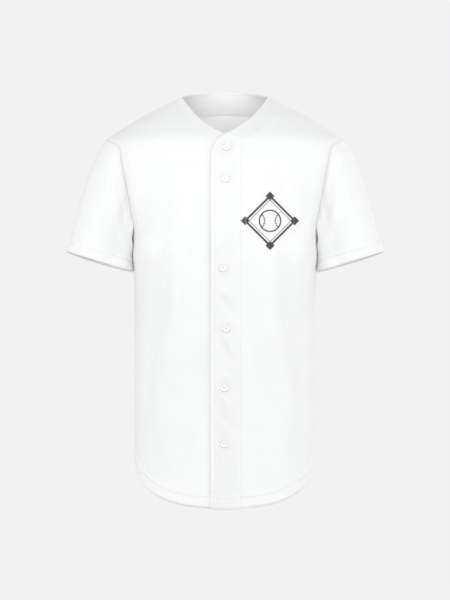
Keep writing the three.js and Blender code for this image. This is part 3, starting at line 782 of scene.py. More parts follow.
def panel_sleeve(name, hand, node):
    """A sleeve: each line down it is a cubic that leaves the armhole outward and arrives along the hanging
    direction at an ellipse square to it."""
    count = len(ARMHOLE_SHARES) - 1
    share = np.r_[ARMHOLE_SHARES[:-1], ARMHOLE_SHARES[:0:-1]]
    front = np.arange(2 * count) >= count
    turn = np.where(front, 180 * (1 - share), 180 + 180 * share)
    places = np.where(front[:, None], armhole["front"](share), armhole["back"](share))
    g, z = hand * places[:, 0], places[:, 1]
    start = np.where(front[:, None], skin("front", g, z), skin("back", g, z)) * (hand, 1, 1)
    angle = np.radians(turn)
    outward, hang, centre = sleeve_frame()
    n = np.where(np.cos(angle) < 0, SLEEVE_HEM["inner_power"], 2)
    size = (np.abs(np.cos(angle)) ** n + np.abs(np.sin(angle)) ** n) ** (-1 / n)
    wave = 1 + sum(row["share"] * np.sin(row["turns"] * angle + row["phase"]) for row in SLEEVE_WAVES)
    side = SLEEVE_HEM["half"] * (np.cos(angle) * size)[:, None] * outward
    depth = -SLEEVE_HEM["depth"] * (np.sin(angle) * size * wave)[:, None] * np.array([0, 1, 0])
    end = centre + side + depth + SLEEVE_BACK_DROP * np.maximum(0, -np.sin(angle))[:, None] * hang
    reach = np.linalg.norm(end - start, axis=1)[:, None]
    topness = (1 + np.cos(angle)) / 2
    slope = lerp(SLEEVE["slope_under"], SLEEVE["slope_top"], topness)
    leave = unit(np.stack([np.ones_like(angle), -SLEEVE["bulge"] * np.sin(angle), -slope], -1))
    leave = leave * SLEEVE["leave"] * reach
    arrive = hang * lerp(SLEEVE["arrive_under"], SLEEVE["arrive_top"], topness)[:, None] * reach
    s = graded(72, 0.35, 0.12, 0.1)[:, None, None]
    rest = 1 - s
    grid = start * (1 + 2 * s) * rest**2 + end * (3 - 2 * s) * s**2
    grid = (grid + leave * s * rest**2 - arrive * s**2 * rest) * (hand, 1, 1)

    def normals(points):
        across = np.roll(points, -1, axis=1) - np.roll(points, 1, axis=1)
        out = unit(np.cross(across, np.gradient(points, axis=0)))
        middle_line = points.mean(axis=1, keepdims=True)
        return out * np.sign((out * (points - middle_line)).sum())

    out = normals(grid)
    relief = np.zeros(grid.shape[:2])
    for fold in SLEEVE_FOLDS:
        away = (turn - fold["turn"] + 540) % 360 - 180
        fade = ease(s[..., 0] / fold["start"]) * ease((1.2 - s[..., 0]) / 0.3)
        relief += fold["depth"] * fade * bell(away, fold["width"])
    d_seam, s_seam = nearest(grid, dense(np.vstack([grid[0], grid[0, :1]])))
    d_hem, s_hem = nearest(grid, dense(np.vstack([grid[-1], grid[-1, :1]])))
    for row in SLEEVE_PULLS:
        on_side = np.clip(row["side"] * np.sin(angle), 0, 1) ** 0.8
        relief += row["height"] * on_side * bell(d_seam - row["at"], row["width"])
    for row in SLEEVE_DRAGS:
        wave = np.sin(d_seam / row["wave"] + row["phase"] + row["sway"] * np.sin(2 * angle))
        about = bell(turn - row["turn"], DRAG_SPREAD) * bell(d_seam - DRAG_AT, DRAG_REACH)
        relief += row["height"] * wave * about
    relief += edge_relief("seam", d_seam, s_seam) + cuff_relief(d_hem, s_hem)
    relief += edge_relief("sleeve_seam", nearest(grid, dense(grid[:, 0]))[0])
    grid = grid + out * relief[..., None]
    out = normals(grid)
    hem = (grid.copy(), out.copy())
    seam_out = np.where(front[:, None], torso_normal("front", g, z), torso_normal("back", g, z))
    grid = np.concatenate([tucked_rows(grid[0], seam_out), grid])
    out = np.concatenate([[seam_out, seam_out], out])
    uv, wrap = sleeve_uv(grid)
    piece = shell(name, grid, out, CLOTH, closed=True, uv=uv, wrap=wrap)
    return dress(piece, grid, node, (0.42, 0.26)), hem


def tucked_rows(edge, out):
    """The seam allowance of a sleeve: two rows that lead from its edge in under the body's cloth."""
    along = np.roll(edge, -1, axis=0) - np.roll(edge, 1, axis=0)
    inward = unit(np.cross(out, along))
    inward = inward * np.sign((inward * (edge - edge.mean(axis=0))).sum())
    return np.stack([edge + row["inward"] * inward - row["under"] * out for row in SEAM_ALLOWANCE])


def sleeve_uv(grid):
    """Millimetres round the sleeve at its mean girth, and down each line from the armhole."""
    columns = grid.shape[1]
    girth_mean = np.linalg.norm(np.diff(grid[len(grid) // 2], axis=0), axis=-1).sum()
    round_it = np.broadcast_to(np.arange(columns) / columns * girth_mean, grid.shape[:2])
    down = np.linalg.norm(np.diff(grid, axis=0), axis=-1)
    fall = np.concatenate([np.zeros((1, columns)), np.cumsum(down, axis=0)])
    return np.stack([round_it, fall], -1), girth_mean


def grid_area(grid):
    """The cloth's area in square metres: half the cross products of the quads' diagonals."""
    a = grid[1:, 1:] - grid[:-1, :-1]
    b = grid[1:, :-1] - grid[:-1, 1:]
    return float(np.linalg.norm(np.cross(a, b), axis=-1).sum() / 2 * MM * MM)


def dress(piece, grid, node, cut):
    """Attaches a cloth piece to the root body and hides its part; its area, capped by the cut, goes unused.
    """
    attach(piece, "root")
    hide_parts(node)
    area = round(min(grid_area(grid), cut[0] * cut[1]), 4)
    return piece


# Stitches and threads are closed tubes of this many sides
TUBE_SIDES = 6
STITCH = {"pitch": 3.3, "length": 2.7, "radius": 0.36, "stand": 0.12, "dip": 0.35}
STITCH_RINGS = np.array([-1, -0.6, 0, 0.6, 1.0])


def rings_round(spine, aside, up, radius):
    """Rings round the points of a line: cos(turn) aside + sin(turn) up, times the radius at each point."""
    turn = np.arange(TUBE_SIDES) / TUBE_SIDES * 2 * np.pi
    circle = np.cos(turn)[:, None] * aside[..., None, :] + np.sin(turn)[:, None] * up[..., None, :]
    return spine[..., None, :] + circle * radius[:, None, None]


def tube_mesh(name, batches):
    """Closed tubes as one piece of cloth. Each batch of tubes is an array by tube, ring, side and coordinate,
    and its end rings are closed by two faces each."""
    ends = np.array([[0, 1, 2, 3], [0, 3, 4, 5]])
    points, polygons = [], []
    first = 0
    for tubes in batches:
        ids = first + np.arange(tubes[..., 0].size).reshape(tubes.shape[:3])
        beside = np.roll(ids, -1, axis=2)
        four = [ids[:, :-1], ids[:, 1:], beside[:, 1:], beside[:, :-1]]
        polygons.append(np.stack(four, -1).reshape(-1, 4))
        polygons += [ids[:, 0][:, ends].reshape(-1, 4), ids[:, -1][:, ends[:, ::-1]].reshape(-1, 4)]
        points.append(tubes.reshape(-1, 3))
        first += ids.size
    piece = mesh_object(name, np.concatenate(points), np.concatenate(polygons))
    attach(piece, "root")
    return piece


def stitches(name, rows):
    """Rows of stitches, each row a line of close points with its outward normals. A stitch is a short tube of
    five rings: its radius is r x (1.02 - t^4) at t from -1 to 1 along it, and its ends dip in by t^2."""
    batches = []
    for line, out in rows:
        along = np.r_[0, np.cumsum(np.linalg.norm(np.diff(line, axis=0), axis=1))]
        count = int(along[-1] / STITCH["pitch"])
        at = (np.arange(count) + 0.5) * along[-1] / count
        where = at[:, None] + STITCH_RINGS * STITCH["length"] / 2
        spine = np.stack([np.interp(where, along, line[:, k]) for k in range(3)], -1)
        up = unit(np.stack([np.interp(where, along, out[:, k]) for k in range(3)], -1))
        aside = unit(np.cross(unit(np.gradient(spine, axis=1)), up))
        spine = spine + up * (STITCH["stand"] - STITCH["dip"] * STITCH_RINGS[:, None] ** 2)
        batches.append(rings_round(spine, aside, up, STITCH["radius"] * (1.02 - STITCH_RINGS**4)))
    return tube_mesh(name, batches)


def threads(name, rows, radius):
    """A tube round each line, drawn in at its two ends."""
    batches = []
    for line, out in rows:
        along = unit(np.gradient(line, axis=0))
        aside = unit(np.cross(along, out))
        size = np.full(len(line), radius)
        size[[0, -1]] *= 0.3
        batches.append(rings_round(line, aside, unit(np.cross(aside, along)), size)[None])
    return tube_mesh(name, batches)


def line_on(side, places, lift):
    """A line of places on the cloth with its normals."""
    g, z = places[:, 0], places[:, 1]
    return skin(side, g, z, lift), torso_normal(side, g, z)


def inset(line, distance):
    """A line of (x, z) moved to its right-hand side by a distance."""
    ahead = unit(np.gradient(line, axis=0))
    return line + np.stack([ahead[:, 1], -ahead[:, 0]], -1) * distance


def hem_places(low, high, distance):
    """Places a distance above the hem's edge, measured square to it: distance x sqrt(1 + slope^2). The walk
    along the cloth is GIRTH_STRETCH times the girth's own step."""
    g = np.linspace(low, high, 700)
    edge = hem_line(g)
    slope = np.gradient(edge, g) / GIRTH_STRETCH
    return np.stack([g, edge + distance * np.sqrt(1 + slope**2)], -1)


GIRTH_STRETCH = 1.35


def left_lift(x):
    """The left front rises over the button stand near the placket."""
    return LEFT_LIFT * ease((PLACKET_SEAM + LEFT_REACH - x) / LEFT_REACH)


def right_tuck(x):
    """The right front dips under the placket."""
    return -TUCK * ease((TUCK_FROM - x) / TUCK_REACH)


def sew_body():
    """Stitching on the fronts, the back and the placket."""
    wide = float(half(HEM_Z + HEM_SIDE)) - 1
    rows = []
    for distance, rise in ((HEM_FIRST, 0.25), (HEM_BAND, 0.0)):
        rows.append(line_on("back", hem_places(-wide, wide, distance), rise))
        ends = PLACKET_SEAM + 1, PLACKET_EDGE - 1, PLACKET_EDGE + 2, PLACKET_SEAM - 1
        seam_out, edge_out, edge_in, seam_in = (float(girth(x, HEM_Z)) for x in ends)
        left, right = hem_places(seam_out, wide, distance), hem_places(-wide, edge_out, distance)
        rows.append(line_on("front", left, left_lift(torso("front", *left.T)[:, 0]) + rise))
        rows.append(line_on("front", right, right_tuck(-torso("front", *right.T)[:, 0]) + rise))
        rows.append(line_on("front", hem_places(edge_in, seam_in, distance), PLACKET_LIFT + 0.1))
    outline = inset(placket_outline(), PLACKET_STITCH)
    keep = (outline[:, 0] > PLACKET_EDGE + 4) & (outline[:, 0] < PLACKET_SEAM - 1)
    in_groove = PLACKET_LIFT - 0.3
    rows.append(line_on("front", x_places(outline[keep]), in_groove))
    top = float(neckline(PLACKET_SEAM)) - 3
    foot = float(hem_line(girth(PLACKET_SEAM, HEM_Z))) + 2
    first, second = PLACKET_SEAM - SEAM_STITCH, PLACKET_SEAM + SECOND_SEAM_STITCH
    second_top = float(neckline(second)) - 6
    for x, high, lift in ((first, top, in_groove), (second, second_top, left_lift(second))):
        line = np.linspace((x, foot), (x, high), 600)
        rows.append(line_on("front", x_places(line), lift))
    return stitches("stitching_body", rows)


def sew_neck():
    """Stitching along the neck edge, as far in as its groove."""
    rows = []
    for hand, start, lift in ((-1, V_BOTTOM_X + 8, right_tuck), (1, PLACKET_SEAM + 1, left_lift)):
        x = np.linspace(start, NECK_HALF - 4, 400)
        edge = np.stack([x, neckline(x)], -1)
        line = inset(edge, NECK_STITCH)
        line = line[line[:, 0] < NECK_HALF - 1]
        places = x_places(line) * (hand, 1)
        rows.append(line_on("front", places, lift(line[:, 0])))
    turn = shares(-0.96, 0.96, 400)
    z = NAPE_RISE * np.cos(turn * np.pi / 2) - NECK_STITCH
    rows.append(line_on("back", np.stack([turn * half(z), z], -1), 0.0))
    return stitches("stitching_neck", rows)


def sew_cuffs(hems):
    """Two rows round each sleeve's hem."""
    rows = []
    for grid, out in hems:
        grid, out = grid[::-1], out[::-1]
        steps = np.linalg.norm(np.diff(grid, axis=0), axis=-1)
        away = np.concatenate([np.zeros((1, grid.shape[1])), steps.cumsum(axis=0)])
        for distance in (SLEEVE_BAND - HEM_BAND + HEM_FIRST, SLEEVE_BAND):
            i = (away < distance).sum(axis=0) - 1
            column = np.arange(grid.shape[1])
            s = ((distance - away[i, column]) / (away[i + 1, column] - away[i, column]))[:, None]
            line = lerp(grid[i, column], grid[i + 1, column], s)
            rows.append((np.vstack([line, line[:1]]), np.vstack([out[i, column], out[i[:1], column[:1]]])))
    return stitches("stitching_cuffs", rows)


# Buttons: a moulded disc with a rim, a dished middle and four holes, drawn as a height above the cloth
BUTTON_RINGS, BUTTON_SECTORS = 30, 72
BUTTON_FACE = {"dish": 0.75, "crown": 0.1, "round_off": 1.1, "hole": 1.6}
BUTTON_UNDER = table("size height", (1.0, 0.9), (0.96, 0.35), (0.85, 0), (0.02, 0))
THREAD_RADIUS = 0.24
HOLE_CIRCLE, HOLE_RADIUS, HOLE_EDGE = 1.75, 0.85, 0.12
HOLE_TURNS = np.radians([45, 135, 225, 315])


def button_mesh():
    """The disc on a polar grid. Its height is a rim that falls to a dished middle, less the four holes."""
    r = BUTTON_RADIUS * np.r_[0.02, np.linspace(0.06, 1, BUTTON_RINGS)]
    turn = np.arange(BUTTON_SECTORS) / BUTTON_SECTORS * 2 * np.pi
    x, y = r[:, None] * np.cos(turn), r[:, None] * np.sin(turn)
    share = r[:, None] / BUTTON_RADIUS + 0 * turn
    top = BUTTON_HEIGHT - BUTTON_FACE["dish"] * ease((0.84 - share) / 0.16)
    top += BUTTON_FACE["crown"] * ease((0.5 - share) / 0.3)
    top -= BUTTON_FACE["round_off"] * np.clip((share - 0.9) / 0.1, 0, 1) ** 2.2
    for hole in HOLE_TURNS:
        away = np.hypot(x - HOLE_CIRCLE * math.cos(hole), y - HOLE_CIRCLE * math.sin(hole))
        top -= BUTTON_FACE["hole"] * ease((HOLE_RADIUS + HOLE_EDGE - away) / (2 * HOLE_EDGE))
    rings = [np.stack([x, y, top], -1)]
    for ring in BUTTON_UNDER:
        edge = BUTTON_RADIUS * ring["size"] * np.stack([np.cos(turn), np.sin(turn)], -1)
        rings.append(np.concatenate([edge, np.full((BUTTON_SECTORS, 1), ring["height"])], 1)[None])
    rings = np.concatenate(rings)
    rows = len(rings)
    ids = np.arange(rows * BUTTON_SECTORS).reshape(rows, BUTTON_SECTORS)
    beside = np.roll(ids, -1, axis=1)
    quads = np.stack([ids[:-1], ids[1:], beside[1:], beside[:-1]], -1).reshape(-1, 4)
    caps = []
    for ring, flip in ((ids[0], False), (ids[-1], True)):
        for k in range(1, BUTTON_SECTORS - 2, 2):
            four = [ring[0], ring[k], ring[k + 1], ring[k + 2]]
            caps.append(four[::-1] if flip else four)
    return rings.reshape(-1, 3), np.concatenate([quads, caps])


def frame_at(x, z, lift):
    """The placket's own axes at a place: across, up the cloth and outward, with the place itself."""
    g = girth(x, z)
    out = torso_normal("front", np.array(g), np.array(float(z)))
    across = unit(np.cross([0, 0, 1], out))
    across = across * np.sign(across[0])
    up = np.cross(out, across)
    up = up * np.sign(up[2])
    return skin("front", np.array(g), np.array(float(z)), lift), across, up, out


def place_on(points, axes):
    """Points of a small piece at its place: the origin + x across + y up + z outward."""
    origin, across, up, out = axes
    return origin + points[:, :1] * across + points[:, 1:2] * up + points[:, 2:] * out


def make_buttons(plastic, thread):
    """The six buttons, each with two bars of two threads across its holes: a line at the height 1 - x^4."""
    points, polygons = button_mesh()
    for i, place in enumerate(BUTTONS):
        axes = frame_at(place["x"], place["z"], PLACKET_LIFT + BUTTON_SEAT)
        piece = mesh_object(f"button_cap_{i + 1}", place_on(points, axes), polygons)
        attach(piece, "root")
        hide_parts(f"button_{i + 1}")
        piece.data.materials.append(plastic)
        rows = []
        for row, strand in ((row, strand) for row in (-1, 1) for strand in (-0.22, 0.22)):
            x = np.linspace(-1, 1, 9)
            y = HOLE_CIRCLE * math.sin(math.pi / 4) * row + strand + 0 * x
            z = BUTTON_HEIGHT - 0.27 - x**4
            line = place_on(np.stack([x * HOLE_CIRCLE * 0.78, y, z], -1), axes)
            rows.append((line, np.broadcast_to(axes[3], line.shape)))
        bars = threads(f"button_thread_{i + 1}", rows, THREAD_RADIUS)
        bars.data.materials.append(thread)


# Buttonholes: a bar of satin stitch round a slit
BUTTONHOLE = {"long": 21, "wide": 3.4, "offset": -0.8, "round": 220, "sides": 10, "high": 0.42, "rib": 0.16}


def buttonhole(name, place, thread):
    """A closed ring round the slit, its line a stadium of two straights and two half circles. Its section is
    a low mound with ribs: one ring is higher by the share rib, and the next one lower."""
    count = BUTTONHOLE["round"]
    straight = BUTTONHOLE["long"] - BUTTONHOLE["wide"]
    sides = BUTTONHOLE["sides"]
    middle_radius = BUTTONHOLE["wide"] / 4 + 0.15
    arc = np.pi * middle_radius
    whole = 2 * (straight + arc)
    at = np.arange(count) / count * whole
    bend = (np.clip(at - straight, 0, arc) + np.clip(at - 2 * straight - arc, 0, arc)) / middle_radius
    heading = np.stack([np.cos(bend), np.sin(bend)], -1)
    step = whole / count
    line = np.cumsum(heading, axis=0) * step
    line -= line.mean(axis=0)
    normal = np.stack([heading[:, 1], -heading[:, 0]], -1)
    section = np.linspace(0, 2 * np.pi, sides, endpoint=False)
    rib = 1 + BUTTONHOLE["rib"] * np.cos(np.arange(count) * np.pi)[:, None]
    half_wide = BUTTONHOLE["wide"] / 4 - 0.12
    aside = half_wide * np.cos(section)[None] * (0.97 + 0.03 * rib)
    height = BUTTONHOLE["high"] * np.sin(section)[None] * rib + 0.12
    flat = line[:, None] + normal[:, None] * aside[..., None]
    points = np.concatenate([flat, height[..., None]], -1).reshape(-1, 3)
    points[:, 0] += place["x"] + BUTTONHOLE["offset"]
    points[:, 1] += place["z"]
    g = girth(points[:, 0], points[:, 1])
    points = skin("front", g, points[:, 1], PLACKET_LIFT - 0.2 + points[:, 2])
    ids = np.arange(count * sides).reshape(count, sides)
    next_ring = np.roll(ids, -1, axis=0)
    beside = np.roll(ids, -1, axis=1)
    quads = np.stack([ids, next_ring, np.roll(next_ring, -1, axis=1), beside], -1).reshape(-1, 4)
    piece = mesh_object(name, points, quads)
    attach(piece, "root")
    piece.data.materials.append(thread)
    return piece


# Materials
def group(name, ins, outs):
    """A node group with named inputs (name, kind, default) and outputs, and its two end nodes."""
    tree = bpy.data.node_groups.new(name, "ShaderNodeTree")
    for label, kind, value in ins:
        socket = tree.interface.new_socket(label, in_out="INPUT", socket_type=kind)
        if value is not None:
            socket.default_value = value
    for label, kind in outs:
        tree.interface.new_socket(label, in_out="OUTPUT", socket_type=kind)
    return tree, tree.nodes.new("NodeGroupInput"), tree.nodes.new("NodeGroupOutput")


def node(tree, kind, ins=(), **props):
    """A node with its properties set, and its inputs either linked to a socket or set to a value."""
    made = tree.nodes.new(kind)
    for key, value in props.items():
        setattr(made, key, value)
    for key, value in dict(ins).items():
        if isinstance(value, bpy.types.NodeSocket):
            tree.links.new(value, made.inputs[key])
        else:
            made.inputs[key].default_value = value
    return made


def maths(tree):
    """A short way to make Math nodes in a tree. Each call gives the node's output."""
    def make(operation, *values):
        return node(tree, "ShaderNodeMath", dict(enumerate(values)), operation=operation).outputs[0]

    return make


def knit_group():
    """Polyester knit: the loops stand in columns a pitch apart, each a pair of slanted legs. Height is their
    relief, and Shade a soft uneven tone times painted shade, which darkens the colour between the loops."""
    tree, start, end = group(
        "Knit", [("UV", "NodeSocketVector", None), ("Pitch", "NodeSocketFloat", 0.0011)],
        [("Height", "NodeSocketFloat"), ("Shade", "NodeSocketFloat")],
    )
    math_node = maths(tree)
    pitch = start.outputs["Pitch"]
    size = node(tree, "ShaderNodeCombineXYZ", {"X": pitch, "Y": pitch, "Z": 1})
    scaled = node(
        tree, "ShaderNodeVectorMath", {0: start.outputs["UV"], 1: size.outputs[0]}, operation="DIVIDE"
    )
    split = node(tree, "ShaderNodeSeparateXYZ", {0: scaled.outputs[0]})
    column = math_node("PINGPONG", split.outputs["X"], 0.5)
    loop = math_node("PINGPONG", math_node("MULTIPLY_ADD", column, 1.1, split.outputs["Y"]), 0.5)
    off_leg = math_node("ABSOLUTE", math_node("SUBTRACT", column, 0.25))
    height = math_node("ADD", loop, math_node("MULTIPLY_ADD", off_leg, -2.4, 0.6))
    fibre = node(tree, "ShaderNodeTexNoise", {"Vector": start.outputs["UV"], "Scale": 5200.0, "Detail": 2.0})
    tree.links.new(math_node("MULTIPLY_ADD", fibre.outputs[0], 0.35, height), end.inputs["Height"])
    patchy = node(tree, "ShaderNodeTexNoise", {"Vector": start.outputs["UV"], "Scale": 26.0, "Detail": 3.0})
    shade = node(tree, "ShaderNodeMapRange", {
        "Value": patchy.outputs[0], "From Min": 0.3, "From Max": 0.7, "To Min": 0.975, "To Max": 1.0,
    })
    # Painted shade: where the loops' relief is low, between them, the colour is darker by up to 7 percent
    deep = node(tree, "ShaderNodeMapRange", {
        "Value": height, "From Min": 0.0, "From Max": 0.9, "To Min": 0.93, "To Max": 1.0,
    })
    tree.links.new(math_node("MULTIPLY", shade.outputs[0], deep.outputs[0]), end.inputs["Shade"])
    return tree


# The print, in metres: lines along the diamond and the ball, each half as wide as its stroke
PRINT_PLACE = (0.0827, 0.0, -0.23)
DIAMOND = table("out stroke", (0.0455, 0.0027), (0.0385, 0.0008))
CORNER, BASE_SIZE = 0.0455, 0.0085
BALL = {"radius": 0.0195, "stroke": 0.0013}
BALL_SEAM = {"centre": 0.0265, "radius": 0.0165, "stroke": 0.0006, "tick": 0.0021, "pitch": 0.0023}
INK = (0.012, 0.012, 0.014, 1)


def print_group():
    """A generic print, black where Mask is 1: a square diamond outline with a base at each corner, and a
    stitched ball in its middle. Place is in metres from the print's middle, with x to the right and z up."""
    ins, outs = [("Place", "NodeSocketVector", None)], [("Mask", "NodeSocketFloat")]
    tree, start, end = group("Diamond print", ins, outs)
    split = node(tree, "ShaderNodeSeparateXYZ", {0: start.outputs["Place"]})
    x, z = split.outputs["X"], split.outputs["Z"]
    math_node = maths(tree)

    def both(a, b):
        return math_node("MULTIPLY", a, b)

    def either(a, b):
        return math_node("MAXIMUM", a, b)

    def under(value, limit):
        return math_node("LESS_THAN", value, limit)

    def away(value, line):
        return math_node("ABSOLUTE", math_node("SUBTRACT", value, line))

    def out_from(cx):
        """Metres from a place on the print's middle line."""
        dx = math_node("SUBTRACT", x, cx)
        return math_node("SQRT", math_node("ADD", both(dx, dx), both(z, z)))

    def diamond(cx, cz):
        """How far out a place lies on a square diamond about a middle: |x| + |z|."""
        return math_node("ADD", away(x, cx), away(z, cz))

    whole, ball = diamond(0.0, 0.0), out_from(0.0)
    mask = under(away(ball, BALL["radius"]), BALL["stroke"])
    for line in DIAMOND:
        mask = either(mask, under(away(whole, line["out"]), line["stroke"]))
    for cx, cz in ((-CORNER, 0.0), (CORNER, 0.0), (0.0, -CORNER), (0.0, CORNER)):
        mask = either(mask, under(diamond(cx, cz), BASE_SIZE))
    tick = under(math_node("PINGPONG", z, BALL_SEAM["pitch"]), BALL_SEAM["stroke"])
    for cx in (-BALL_SEAM["centre"], BALL_SEAM["centre"]):
        off_seam = away(out_from(cx), BALL_SEAM["radius"])
        seam = either(under(off_seam, BALL_SEAM["stroke"]), both(under(off_seam, BALL_SEAM["tick"]), tick))
        mask = either(mask, both(seam, under(ball, BALL["radius"])))
    tree.links.new(mask, end.inputs["Mask"])
    return tree


def new_material(name):
    made = bpy.data.materials.new(name)
    made.use_nodes = True
    return made, made.node_tree, made.node_tree.nodes["Principled BSDF"]


def cloth_material(name, knit, see_through, tint=(0.86, 0.865, 0.87), pitch=0.0011, printed=None):
    """Matt white knit with a faint sheen, which lets a share of the light through."""
    made, tree, shader = new_material(name)
    place = node(tree, "ShaderNodeTexCoord")
    weave = node(tree, "ShaderNodeGroup", {}, node_tree=knit)
    tree.links.new(place.outputs["UV"], weave.inputs["UV"])
    weave.inputs["Pitch"].default_value = pitch
    # The knit's Shade, an uneven tone times painted shade between the loops, is multiplied into the base
    # colour
    base = tinted(tree, tint, weave.outputs["Shade"])
    if printed is not None:
        offset = node(
            tree, "ShaderNodeVectorMath", {0: place.outputs["Object"], 1: PRINT_PLACE}, operation="SUBTRACT"
        )
        mask = node(tree, "ShaderNodeGroup", {}, node_tree=printed)
        tree.links.new(offset.outputs[0], mask.inputs["Place"])
        inked = {"Factor": mask.outputs["Mask"], "A": base, "B": INK}
        base = node(tree, "ShaderNodeMix", inked, data_type="RGBA").outputs["Result"]
    tree.links.new(base, shader.inputs["Base Color"])
    relief = {"Strength": 0.35, "Distance": 0.0003, "Height": weave.outputs["Height"]}
    normal = node(tree, "ShaderNodeBump", relief).outputs[0]
    tree.links.new(normal, shader.inputs["Normal"])
    for socket, value in (("Roughness", 0.88), ("Sheen Weight", 0.12), ("Sheen Roughness", 0.5)):
        shader.inputs[socket].default_value = value
    through = node(tree, "ShaderNodeBsdfTranslucent", {"Color": (0.95, 0.95, 0.95, 1), "Normal": normal})
    both = node(tree, "ShaderNodeMixShader", {0: see_through, 1: shader.outputs[0], 2: through.outputs[0]})
    tree.links.new(both.outputs[0], tree.nodes["Material Output"].inputs["Surface"])
    return made


def tinted(tree, colour, shade):
    """A colour times a shade that changes over the surface."""
    ins = {"Factor": 1.0, "A": (*colour, 1), "B": shade}
    return node(tree, "ShaderNodeMix", ins, data_type="RGBA", blend_type="MULTIPLY").outputs["Result"]


def plain_material(name, colour, roughness, scale, bump_distance):
    """A plain finish whose tone and relief vary with a fine noise in object space."""
    made, tree, shader = new_material(name)
    place = node(tree, "ShaderNodeTexCoord").outputs["Object"]
    noise = node(tree, "ShaderNodeTexNoise", {"Vector": place, "Scale": scale, "Detail": 3.0}).outputs[0]
    tone = node(tree, "ShaderNodeMapRange", {
        "Value": noise, "From Min": 0.3, "From Max": 0.7, "To Min": 0.95, "To Max": 1.0,
    })
    tree.links.new(tinted(tree, colour, tone.outputs[0]), shader.inputs["Base Color"])
    bump = node(tree, "ShaderNodeBump", {"Strength": 0.3, "Distance": bump_distance, "Height": noise})
    tree.links.new(bump.outputs[0], shader.inputs["Normal"])
    shader.inputs["Roughness"].default_value = roughness
    return made


# The share of the light that goes through one layer of cloth and through two
SINGLE, DOUBLE = 0.35, 0.33


def build():
    """The whole jersey: its cloth pieces, stitching, buttons and buttonholes, each with its material."""
    knit = knit_group()
    cloth = cloth_material("white_knit", knit, SINGLE)
    doubled = cloth_material("white_knit_doubled", knit, DOUBLE)
    printed = cloth_material("white_knit_printed", knit, SINGLE, printed=print_group())
    facing = cloth_material("facing_tape", knit, DOUBLE, tint=(0.88, 0.88, 0.88), pitch=0.0008)
    thread = plain_material("white_thread", (0.87, 0.87, 0.865), 0.6, 2500.0, 0.00008)
    plastic = plain_material("white_plastic", (0.69, 0.69, 0.685), 0.42, 320.0, 0.00002)

    back = panel_back()
    right = panel_front("cloth_front_right", -1, -BUTTON_STAND, right_tuck)
    left = panel_front("cloth_front_left", 1, PLACKET_SEAM, left_lift)
    placket = panel_placket()
    both_sleeves = [panel_sleeve(f"cloth_{side}", hand, side) for side, hand in SLEEVES]
    sleeves, hems = zip(*both_sleeves)
    facing_piece = panel_facing()
    for piece in (back, right, *sleeves):
        piece.data.materials.append(cloth)
    placket.data.materials.append(doubled)
    left.data.materials.append(printed)
    facing_piece.data.materials.append(facing)
    for piece in (sew_body(), sew_neck(), sew_cuffs(hems)):
        piece.data.materials.append(thread)
    make_buttons(plastic, thread)
    for i, place in enumerate(BUTTONS):
        buttonhole(f"buttonhole_{i + 1}", place, thread)


# The studio, in metres: the camera stands level at mid height, far off, as in the photograph
CAMERA = {"z": -0.3755, "distance": 16.0, "plane": -0.02, "view_height": 1.11, "sensor": 24.0}
BACKGROUND = 0.888
AMBIENT = table("height strength", (-1, 0.4), (0, 1.2), (1, 0.6))
FLOOR = {"radius": 3.2, "z": -1.35, "corners": 96}
LAMPS = table(
    "name place aim size energy spread",
    ("key", (0, -2.0, 0.5), (0, 0, -0.18), 1.2, 15.6, 180),
    ("side_right", (-2.1, -1.2, 0.1), (0, 0, -0.32), 1.5, 17.2, 180),
    ("side_left", (2.1, -1.2, 0.1), (0, 0, -0.32), 1.5, 17.2, 180),
    ("neck_fill", (0, -0.03, -0.14), (0, 0.065, 0.02), 0.08, 0.025, 70),
    ("back_light", (1.7, 2.5, 0.8), (0, 0, -0.38), 0.9, 25, 180),
)


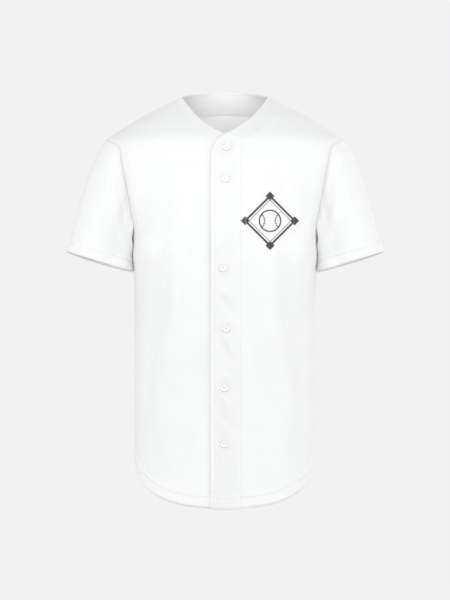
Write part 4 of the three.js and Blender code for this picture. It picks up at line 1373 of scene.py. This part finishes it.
def studio():
    """Camera, lamps, floor and sky."""
    scene = bpy.context.scene
    data = bpy.data.cameras.new("camera")
    data.sensor_fit = "VERTICAL"
    data.sensor_height = CAMERA["sensor"]
    data.lens = CAMERA["sensor"] * CAMERA["distance"] / CAMERA["view_height"]
    data.clip_end = 60
    camera = bpy.data.objects.new("camera", data)
    camera.location = (0, CAMERA["plane"] - CAMERA["distance"], CAMERA["z"])
    camera.rotation_euler = (math.pi / 2, 0, 0)
    scene.collection.objects.link(camera)
    scene.camera = camera

    for row in LAMPS:
        lamp = bpy.data.lights.new(row["name"], "AREA")
        lamp.size = row["size"]
        lamp.energy = row["energy"]
        lamp.spread = math.radians(row["spread"])
        holder = bpy.data.objects.new(row["name"], lamp)
        holder.location = row["place"]
        away = np.array(row["place"]) - np.array(row["aim"])
        tip = math.acos(away[2] / np.linalg.norm(away))
        holder.rotation_euler = (tip, 0, math.atan2(away[0], -away[1]))
        holder.visible_camera = False
        scene.collection.objects.link(holder)

    floor_mesh = bpy.data.meshes.new("studio_floor")
    turn = np.linspace(0, 2 * np.pi, FLOOR["corners"], endpoint=False)
    rim = [(FLOOR["radius"] * math.cos(t), FLOOR["radius"] * math.sin(t), FLOOR["z"]) for t in turn]
    floor_mesh.from_pydata(rim, [], [list(range(FLOOR["corners"]))])
    floor = bpy.data.objects.new("studio_floor", floor_mesh)
    scene.collection.objects.link(floor)
    floor.data.materials.append(plain_material("pale_floor", (0.76, 0.76, 0.76), 0.9, 900.0, 0.0002))

    world = bpy.data.worlds.new("studio")
    scene.world = world
    world.use_nodes = True
    tree = world.node_tree
    tree.nodes.clear()
    seen = node(tree, "ShaderNodeBackground", {"Color": (*[BACKGROUND] * 3, 1), "Strength": 1.0})
    way = node(tree, "ShaderNodeSeparateXYZ", {0: node(tree, "ShaderNodeTexCoord").outputs["Generated"]})
    # The sky's light rises from the ground to the level and falls again overhead
    slopes = [
        node(tree, "ShaderNodeMapRange", {
            "Value": way.outputs["Z"], "From Min": low["height"], "From Max": high["height"],
            "To Min": low["strength"], "To Max": high["strength"],
        }).outputs[0]
        for low, high in zip(AMBIENT, AMBIENT[1:])
    ]
    strength = maths(tree)("MINIMUM", *slopes)
    light = node(tree, "ShaderNodeBackground", {"Color": (1, 1, 1, 1), "Strength": strength})
    by_camera = node(tree, "ShaderNodeLightPath").outputs["Is Camera Ray"]
    both = node(tree, "ShaderNodeMixShader", {0: by_camera, 1: light.outputs[0], 2: seen.outputs[0]})
    out = node(tree, "ShaderNodeOutputWorld")
    tree.links.new(both.outputs[0], out.inputs["Surface"])
    scene.view_settings.view_transform = "Standard"


build()
studio()
